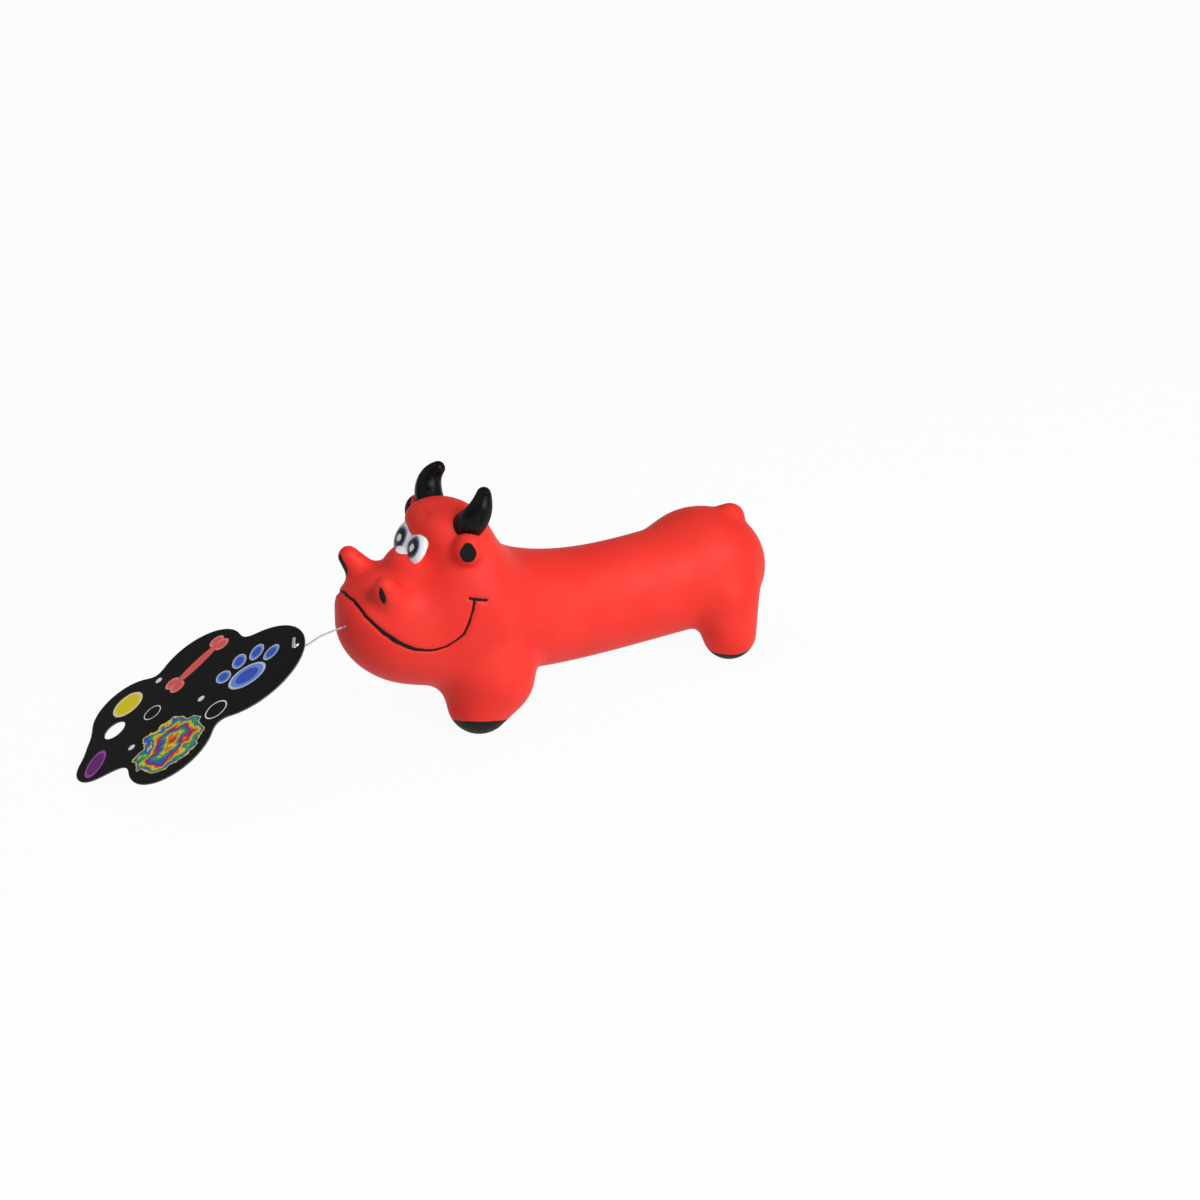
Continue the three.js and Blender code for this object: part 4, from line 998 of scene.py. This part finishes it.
class BULL_OT_skin(bpy.types.Operator):
    """Mould the latex skin in one piece, with its groove, pits, dishes, plug seat and painted areas"""

    bl_idname = "bull.skin"
    bl_label = "Latex skin"

    def execute(self, context):
        bm = self.mould_outside(context.scene)
        self.add_lining(bm, context.scene.bull_skin.wall / MM)
        ends, sides = ("front", "rear"), ("left", "right")
        limbs = [f"{end}_{side}_{part}" for end in ends for side in sides for part in ("leg", "hoof")]
        trims = [f"{side}_{part}" for side in sides for part in ("ear", "nostril")]
        made = piece(bm, "latex_skin", [slush_moulded_latex()], "toy",
                     ["torso_skin", "head_skin", "tail_knob", *limbs, *trims])
        squeezed(made)
        return {"FINISHED"}

    def mould_outside(self, scene):
        """The outside, with finer faces at its small work and with its paint marked."""
        plug = scene.bull_plug

        def small_work(points):
            x, y, z = points.T
            seat = np.abs(np.hypot(x - plug.place_x / MM, y) - plug.radius / MM)
            seat = np.where(z < TORSO.height, seat, np.inf)
            white = np.abs(BRIDGE_WHITE.distance(points))
            return np.min((mouth_gap(points)[0], seat, white, np.abs(dimple_edge(points))), axis=0)

        bm = moulded(OUTER_FORMS, skin_surface, scene.bull_skin.voxel / MM)
        for reach in HALVED_WITHIN:
            refined(bm, skin_surface, small_work, reach)
        mark(bm, "paint_gap", paint_gap(vertex_points(bm)))
        mark(bm, "white_gap", BRIDGE_WHITE.distance(vertex_points(bm)))
        return bm

    def add_lining(self, bm, wall):
        """The inside of the wall, turned to face the hollow."""
        inner = moulded(INNER_FORMS, lambda points: bare_mould(points) + wall, INNER_MESH)
        bmesh.ops.reverse_faces(inner, faces=inner.faces)
        unpainted(inner)
        lining = bpy.data.meshes.new("lining")
        inner.to_mesh(lining)
        inner.free()
        bm.from_mesh(lining)
        bpy.data.meshes.remove(lining)


class BULL_OT_horns(bpy.types.Operator):
    """Mould the two bent horns and paint them"""

    bl_idname = "bull.horns"
    bl_label = "Horns"

    def execute(self, context):
        bm = moulded(HORNS, horn_surface, HORN_MESH)
        made = piece(bm, "painted_horns", [brushed_black_paint()], "toy",
                     ["left_horn", "right_horn"])
        squeezed(made)
        return {"FINISHED"}


class BULL_OT_eyes(bpy.types.Operator):
    """Raise the pair of eyes and mark the distance from the middle of each iris"""

    bl_idname = "bull.eyes"
    bl_label = "Eyes"

    def execute(self, context):
        eyes = context.scene.bull_eyes
        bm = moulded([EYES], EYES.distance, EYE_MESH)
        _, y, z = vertex_points(bm).T
        mark(bm, "iris_gap", np.hypot(np.abs(y) - eyes.gaze_y / MM, z - eyes.gaze_z / MM))
        made = piece(bm, "raised_eyes", [painted_eye()], "toy", ["left_eye", "right_eye"])
        squeezed(made)
        return {"FINISHED"}


# Plug: rounding of its edges, swell of its face, thickness of its flange, and its longest unsplit edge
PLUG_ROUND, PLUG_SWELL, PLUG_FLANGE, PLUG_LONGEST = 0.4, 0.1, 1.6, 2.0


class BULL_OT_plug(bpy.types.Operator):
    """Turn the belly plug with its vent and flange and bend it to the belly"""

    bl_idname = "bull.plug"
    bl_label = "Belly plug"

    def execute(self, context):
        plug = context.scene.bull_plug
        vent, radius, flange, gap = (size / MM for size in (plug.vent, plug.radius, plug.flange, plug.gap))
        wall = context.scene.bull_skin.wall / MM + gap
        top = wall + PLUG_FLANGE
        profile = [(vent, PLUG_ROUND), (vent + PLUG_ROUND, 0.0), (radius / 2, -PLUG_SWELL),
                   (radius - PLUG_ROUND, 0.0), (radius, PLUG_ROUND), (radius, wall), (flange, wall),
                   (flange, top), (vent, top)]
        place = (plug.place_x / MM, 0.0, float(belly_height()))
        bm = spun(profile, place, (0, 0, 1))
        edges = [edge for edge in bm.edges if edge.calc_length() > PLUG_LONGEST]
        bmesh.ops.subdivide_edges(bm, edges=edges, cuts=2, use_grid_fill=True)
        lift = belly_height(vertex_points(bm)[:, 1]) - belly_height()
        for vert, rise in zip(bm.verts, lift.tolist()):
            vert.co.z += rise
        unpainted(bm)
        made = piece(bm, "vent_plug", [bpy.data.materials["slush_moulded_latex"]], "toy",
                     ["belly_plug"])
        squeezed(made)
        return {"FINISHED"}


# Filling: its gap to the skin, and the pitch along each axis and the height of its lumps
FILLING_GAP, LUMP_PITCH, LUMP_HEIGHT = 1.0, np.array((4.1, 3.7, 3.9)), 0.6
# Lumps on the two sides aren't mirrored, with their waves shifted by this, in radians
LUMP_SHIFT = np.array((0.0, 1.0, 0.0))
# Room in it for the squeaker, the flange behind the bulb, the nozzle, the plug and the pin's bar
SQUEAKER_ROOM, FLANGE_ROOM, NOZZLE_ROOM_RADIUS = 0.8, 1.8, 4.6
PLUG_SIDE_ROOM, PLUG_TOP_ROOM = 0.5, 3.0
BAR_ROOM = (5.0, 6.0, 3.0)
ROOM_SOFTENING, BAR_SOFTENING = 1.5, 1.0


class BULL_OT_filling(bpy.types.Operator):
    """Stuff the skin with one lumpy wad of fibre, with room for the squeaker, plug and pin bar"""

    bl_idname = "bull.filling"
    bl_label = "Filling"

    def execute(self, context):
        bm = moulded(INNER_FORMS, self.wad_surface(context.scene), INNER_MESH)
        made = piece(bm, "fibre_filling", [polyester_fibre()], "toy",
                     ["body_filling", "head_filling"])
        squeezed(made)
        return {"FINISHED"}

    def wad_surface(self, scene):
        """The wad's distance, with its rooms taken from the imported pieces."""
        plug = scene.bull_plug
        wall = scene.bull_skin.wall / MM
        bulb_low, bulb_high = node_box("squeaker_bulb")
        crown_low, _ = node_box("squeaker_crown")
        _, nozzle_high = node_box("squeaker_nozzle")
        middle, radius = (bulb_low + bulb_high) / 2, (bulb_high.x - bulb_low.x) / 2
        front, back = crown_low.y, bulb_high.y + FLANGE_ROOM
        bar = Egg(sum(node_box("pin_anchor"), Vector()) / 2, BAR_ROOM)

        def wad(points):
            x, y, z = points.T
            lumps = np.sin(points / LUMP_PITCH + LUMP_SHIFT).prod(axis=1)
            field = bare_mould(points) + wall + FILLING_GAP + LUMP_HEIGHT * lumps
            across = np.hypot(x - middle.x, z - middle.z)
            bulb = np.maximum(across - radius, np.abs(y - (front + back) / 2) - (back - front) / 2)
            nozzle = np.maximum(across - NOZZLE_ROOM_RADIUS, np.abs(y) - nozzle_high.y - SQUEAKER_ROOM)
            hole = np.maximum(np.hypot(x - plug.place_x / MM, y) - plug.flange / MM - PLUG_SIDE_ROOM,
                              z - belly_height() - wall - PLUG_TOP_ROOM)
            rooms = np.min((bulb - SQUEAKER_ROOM, nozzle, hole), axis=0)
            return cut_out(cut_out(field, rooms, ROOM_SOFTENING), bar.distance(points), BAR_SOFTENING)

        return wad


# Squeaker: the gap between its pieces, walls of the nozzle and of the dome's crown, and the nozzle's flange
# and broken edge
SQUEAKER_GAP, NOZZLE_WALL, CROWN_WALL, NOZZLE_FLANGE, NOZZLE_EDGE = 0.3, 1.0, 1.3, 1.2, 0.25


class BULL_OT_squeaker(bpy.types.Operator):
    """Turn the bellows, its dome and the nozzle, and finish the reed and its cap"""

    bl_idname = "bull.squeaker"
    bl_label = "Squeaker"

    def execute(self, context):
        sizes = context.scene.bull_squeaker
        plastic = blown_polyethylene()
        low, high = node_box("squeaker_bulb")
        place = ((low.x + high.x) / 2, 0.0, (low.z + high.z) / 2)
        radius, front, back = (high.x - low.x) / 2, low.y, high.y
        cap_low, cap_high = node_box("squeaker_reed_cap")
        bore = (cap_high.x - cap_low.x) / 2 + SQUEAKER_GAP
        neck = bore + NOZZLE_WALL
        turned = (
            ("squeaker_bellows", self.bellows(sizes, radius, neck + SQUEAKER_GAP, front, back), "toy",
             "squeaker_bulb"),
            ("squeaker_dome", self.dome(radius, sizes.wall / MM), "crown", "squeaker_crown"),
            ("reed_nozzle", self.nozzle(bore, neck, back + SQUEAKER_GAP), "toy", "squeaker_nozzle"),
        )
        made = {name: piece(spun(profile, place, (0, 1, 0)), name, [plastic], body, [node])
                for name, profile, body, node in turned}
        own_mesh(made["squeaker_bellows"])
        for node in ("squeaker_reed", "squeaker_reed_cap"):
            frame["nodes"][node].material_slots[0].material = plastic
        return {"FINISHED"}

    def bellows(self, sizes, radius, hole, front, back, pleat_points=12):
        """Profile of the pleated wall, open at the front and with a hole for the nozzle at the back."""
        wall = sizes.wall / MM
        travel = np.linspace(front, back, pleat_points * sizes.pleats + 1)
        swing = np.cos(math.tau * sizes.pleats * (travel - front) / (back - front))
        dips = sizes.pleat_depth / MM * (0.5 - 0.5 * swing)
        outside = [(radius - dip, y) for dip, y in zip(dips, travel)]
        inside = [(radius - wall - dip, y) for dip, y in zip(dips[:-1], travel[:-1])]
        return [*outside, (hole, back), (hole, back - wall), (radius - wall, back - wall), *inside[::-1]]

    def dome(self, radius, wall, points=14):
        """Profile of the stiff crown, with its lining."""
        low, high = node_box("squeaker_crown")
        rise = high.y - low.y
        turns = np.linspace(0.0, math.pi / 2, points)
        outside = [(radius * math.sin(t), high.y - rise * math.cos(t)) for t in turns]
        inside = [((radius - wall) * math.sin(t), high.y - (rise - CROWN_WALL) * math.cos(t)) for t in turns]
        return [*outside, *inside[::-1]]

    def nozzle(self, bore, neck, seat):
        """Profile of the tube, with a flange on the bulb's back."""
        low, high = node_box("squeaker_nozzle")
        flange, top, edge = (high.x - low.x) / 2, seat + NOZZLE_FLANGE, NOZZLE_EDGE
        return [(bore, low.y), (neck - edge, low.y), (neck, low.y + edge), (neck, seat),
                (flange - edge, seat), (flange, seat + edge), (flange, top - edge), (flange - edge, top),
                (neck, top), (neck, high.y - edge), (neck - edge, high.y), (bore, high.y)]


# Pin: its strand's radius, its gap at the lip, how far it stands off the card, and its paddle's sizes
STRAND_RADIUS, PIN_GAP, PIN_STAND = 0.35, 0.3, 1.2
PADDLE = (1.2, 6.0, 0.8)
# Its bar lies inside the lip, along it
BAR_RADIUS, BAR_LENGTH, BAR_SET_BACK, LIP_TURN = 0.6, 8.0, 6.6, math.radians(-6.2)
NYLON_ROUND = 0.25


class BULL_OT_tag(bpy.types.Operator):
    """Cut the hang card with its holes and print, and mould the nylon pin and its bar"""

    bl_idname = "bull.tag"
    bl_label = "Hang card and pin"

    def execute(self, context):
        thickness = context.scene.bull_card.thickness / MM
        lie = card_matrix()
        self.cut_card(thickness, lie)
        lip = FROM_FRAME @ Vector(JOINTS["pin_swing"]["pos_m"])
        way = (lie.translation - lip).normalized()
        nylon = clear_nylon()
        self.mould_pin(thickness, lie, lip, way, nylon)
        self.mould_bar(lip, way, nylon)
        return {"FINISHED"}

    def cut_card(self, thickness, lie):
        bm = bmesh.new()
        outline = bmesh.ops.create_circle(bm, segments=CARD_POINTS, radius=1.0)["verts"]
        for vert, point in zip(outline, card_outline(CARD_POINTS).tolist()):
            vert.co = (*point, 0.0)
        for along, across, radius in CARD_HOLES:
            place = Matrix.Translation((along, across, 0.0))
            bmesh.ops.create_circle(bm, segments=HOLE_POINTS, radius=radius, matrix=place)
        bmesh.ops.triangle_fill(bm, edges=bm.edges, use_beauty=True)
        raised = bmesh.ops.extrude_face_region(bm, geom=bm.faces[:])["geom"]
        bmesh.ops.translate(bm, verts=[item for item in raised if isinstance(item, bmesh.types.BMVert)],
                            vec=(0.0, 0.0, thickness))
        bmesh.ops.recalc_face_normals(bm, faces=bm.faces)
        rims = [edge for edge in bm.edges if len(edge.link_faces) == 2 and edge.calc_face_angle() > SHARP]
        rounded(bm, rims, CARD_ROUND, 2)
        uv = bm.loops.layers.uv.new("card_mm")
        for face in bm.faces:
            rise = face.normal.z
            face.material_index = CARD_FRONT if rise > 0.5 else CARD_BACK if rise < -0.5 else CARD_CUT
            for loop in face.loops:
                loop[uv].uv = (loop.vert.co.x / CARD_UV, loop.vert.co.y / CARD_UV)
        bmesh.ops.transform(bm, matrix=lie, verts=bm.verts)
        materials = [varnished_card(), cut_board(), varnished_card_back()]
        made = piece(bm, "hang_card", materials, "card", ["tag_card"])
        for face in made.data.polygons:
            face.use_smooth = False

    def mould_pin(self, thickness, lie, lip, way, nylon):
        hole, normal = lie.translation, lie.col[2].xyz
        length = (hole - lip).length
        paddle_middle = thickness + PIN_STAND + PADDLE[2] / 2
        bm = self.strand([lip + way * PIN_GAP, lip + way * length / 2,
                          lip + way * (length - 2 * PIN_STAND) - normal * PIN_STAND,
                          hole - normal * PIN_STAND / 2, hole + normal * paddle_middle])
        place = lie @ Matrix.Translation((0.0, 0.0, paddle_middle)) @ Matrix.Diagonal((*PADDLE, 1.0))
        corners = bmesh.ops.create_cube(bm, size=1.0, matrix=place)["verts"]
        edges = list({edge for vert in corners for edge in vert.link_edges})
        rounded(bm, edges, NYLON_ROUND, 3)
        piece(bm, "nylon_pin", [nylon], "pin", ["tag_pin"])

    def strand(self, path):
        """A round strand with closed ends along a smooth path."""
        curve = bpy.data.curves.new("strand", "CURVE")
        curve.dimensions = "3D"
        curve.bevel_depth, curve.bevel_resolution, curve.resolution_u = STRAND_RADIUS, 3, 10
        curve.use_fill_caps = True
        spline = curve.splines.new("BEZIER")
        spline.bezier_points.add(len(path) - 1)
        for point, place in zip(spline.bezier_points, path):
            point.co = place
            point.handle_left_type = point.handle_right_type = "AUTO"
        holder = bpy.data.objects.new("strand", curve)
        bpy.context.scene.collection.objects.link(holder)
        bpy.context.view_layer.update()
        swept = bpy.data.meshes.new_from_object(holder.evaluated_get(bpy.context.evaluated_depsgraph_get()))
        bm = bmesh.new()
        bm.from_mesh(swept)
        bpy.data.meshes.remove(swept)
        bpy.data.objects.remove(holder)
        bpy.data.curves.remove(curve)
        bmesh.ops.remove_doubles(bm, verts=bm.verts, dist=WELD)
        return bm

    def mould_bar(self, lip, way, nylon):
        bm = bmesh.new()
        root, tip = lip - way * BAR_SET_BACK, lip - way * PIN_GAP
        across = Matrix.Rotation(-LIP_TURN, 4, "Z") @ Matrix.Rotation(math.pi / 2, 4, "X")
        bmesh.ops.create_cone(bm, cap_ends=True, segments=20, radius1=BAR_RADIUS, radius2=BAR_RADIUS,
                              depth=BAR_LENGTH, matrix=Matrix.Translation(root) @ across)
        rims = [edge for edge in bm.edges if edge.calc_face_angle(0.0) > SHARP]
        rounded(bm, rims, NYLON_ROUND, 3)
        bmesh.ops.create_cone(bm, cap_ends=True, segments=16, radius1=STRAND_RADIUS, radius2=STRAND_RADIUS,
                              depth=(tip - root).length, matrix=aimed((root + tip) / 2, tip - root))
        piece(bm, "nylon_bar", [nylon], "toy", ["pin_anchor"])


# The camera's aim in millimetres on the datum
CAMERA_AIM = (54.444, -25.553, 47.189)
# Each light's size, and its steps from the aim to the camera's right, up and back, in metres
LIGHTS = {"key": (0.9, (0.75, 0.45, 1.0)), "fill": (1.4, (-0.9, 1.0, 0.5))}


class BULL_OT_stage(bpy.types.Operator):
    """Lay the pale floor, hang the soft lights and set the camera"""

    bl_idname = "bull.stage"
    bl_label = "Stage"

    def execute(self, context):
        scene, stage = context.scene, context.scene.bull_stage
        self.lay_floor(scene)
        self.set_sky(scene, stage.sky)
        aim = TO_FRAME @ Vector(CAMERA_AIM)
        axes = self.view_axes(stage)
        for name, power in (("key", stage.key_power), ("fill", stage.fill_power)):
            self.hang_light(scene, name, power, aim, axes)
        lens = bpy.data.cameras.new("camera")
        lens.sensor_width, lens.lens = 36.0, stage.lens
        lens.clip_start, lens.clip_end = 0.01, 50.0
        camera = bpy.data.objects.new("camera", lens)
        scene.collection.objects.link(camera)
        turned = Matrix(axes).transposed().to_4x4()
        camera.matrix_world = Matrix.Translation(aim + axes[2] * stage.distance) @ turned
        scene.camera = camera
        scene.view_settings.view_transform = "Standard"
        return {"FINISHED"}

    def view_axes(self, stage):
        """Right, up and back of the camera."""
        cos_a, sin_a = math.cos(stage.azimuth), math.sin(stage.azimuth)
        cos_e, sin_e = math.cos(stage.elevation), math.sin(stage.elevation)
        right = Vector((cos_a, -sin_a, 0.0))
        up = Vector((sin_a * sin_e, cos_a * sin_e, cos_e))
        return right, up, right.cross(up)

    def lay_floor(self, scene):
        made, tree, shader = new_material("pale_floor", {"Base Color": linear("#e6e6e6"), "Roughness": 0.9,
                                                         "Specular IOR Level": 0.0})
        # White to the eye and to reflections; a share of plain diffuse keeps the shadow
        diffuse_share = 0.05
        rays = add_node(tree, "ShaderNodeLightPath").outputs
        seen = add_node(tree, "ShaderNodeMath", {0: rays["Is Camera Ray"], 1: rays["Is Glossy Ray"]},
                        operation="MAXIMUM")
        seen = add_node(tree, "ShaderNodeMath", {0: seen.outputs[0], 1: rays["Is Transmission Ray"]},
                        operation="MAXIMUM")
        share = add_node(tree, "ShaderNodeMath", {0: seen.outputs[0], 1: 1.0 - diffuse_share},
                         operation="MULTIPLY")
        glow = add_node(tree, "ShaderNodeEmission", {"Color": linear("#ffffff"), "Strength": 1.0})
        mixed = add_node(tree, "ShaderNodeMixShader",
                         {0: share.outputs[0], 1: shader.outputs["BSDF"], 2: glow.outputs["Emission"]})
        output = next(node for node in tree.nodes if node.bl_idname == "ShaderNodeOutputMaterial")
        tree.links.new(mixed.outputs["Shader"], output.inputs["Surface"])
        bm = bmesh.new()
        bmesh.ops.create_grid(bm, x_segments=4, y_segments=4, size=6.0)
        mesh = bpy.data.meshes.new("floor")
        bm.to_mesh(mesh)
        bm.free()
        mesh.materials.append(made)
        floor = bpy.data.objects.new("floor", mesh)
        scene.collection.objects.link(floor)

    def set_sky(self, scene, strength):
        scene.world = scene.world or bpy.data.worlds.new("sky")
        scene.world.use_nodes = True
        tree = scene.world.node_tree
        tree.nodes.clear()
        rays = add_node(tree, "ShaderNodeLightPath").outputs
        seen = add_node(tree, "ShaderNodeMath", {0: rays["Is Camera Ray"], 1: rays["Is Transmission Ray"]},
                        operation="MAXIMUM")
        level = add_node(tree, "ShaderNodeMapRange",
                         {"Value": seen.outputs[0], "To Min": strength, "To Max": 1.0})
        glow = add_node(tree, "ShaderNodeBackground",
                        {"Color": linear("#ffffff"), "Strength": level.outputs["Result"]})
        add_node(tree, "ShaderNodeOutputWorld", {"Surface": glow.outputs["Background"]})

    def hang_light(self, scene, name, power, aim, axes):
        lamp = bpy.data.lights.new(name, "AREA")
        size, steps = LIGHTS[name]
        lamp.energy, lamp.size = power, size
        hung = bpy.data.objects.new(name, lamp)
        scene.collection.objects.link(hung)
        away = sum((axis * step for axis, step in zip(axes, steps)), Vector())
        hung.matrix_world = aimed(aim + away, away)


OPERATORS = (BULL_OT_stage, BULL_OT_skin, BULL_OT_horns, BULL_OT_eyes, BULL_OT_plug, BULL_OT_filling,
             BULL_OT_squeaker, BULL_OT_tag)
SETTINGS = {"bull_skin": SkinSettings, "bull_eyes": EyeSettings, "bull_plug": PlugSettings,
            "bull_squeaker": SqueakerSettings, "bull_card": CardSettings, "bull_colours": ColourSettings,
            "bull_stage": StageSettings}


class BULL_PT_panel(bpy.types.Panel):
    """Lists the toy's sizes and the steps that model it"""

    bl_idname = "BULL_PT_panel"
    bl_label = "Squeaky bull"
    bl_space_type = "VIEW_3D"
    bl_region_type = "UI"
    bl_category = "Squeaky bull"

    def draw(self, context):
        for name, group in SETTINGS.items():
            column = self.layout.column(align=True)
            for entry in group.__annotations__:
                column.prop(getattr(context.scene, name), entry)
        for operator in OPERATORS:
            self.layout.operator(operator.bl_idname)


CLASSES = (*SETTINGS.values(), *OPERATORS, BULL_PT_panel)


def register():
    for entry in CLASSES:
        bpy.utils.register_class(entry)
    for name, group in SETTINGS.items():
        setattr(bpy.types.Scene, name, PointerProperty(type=group))


def unregister():
    for name in SETTINGS:
        delattr(bpy.types.Scene, name)
    for entry in reversed(CLASSES):
        bpy.utils.unregister_class(entry)


def main():
    register()
    for operator in OPERATORS:
        group, name = operator.bl_idname.split(".")
        getattr(getattr(bpy.ops, group), name)()


if __name__ == "__main__":
    main()
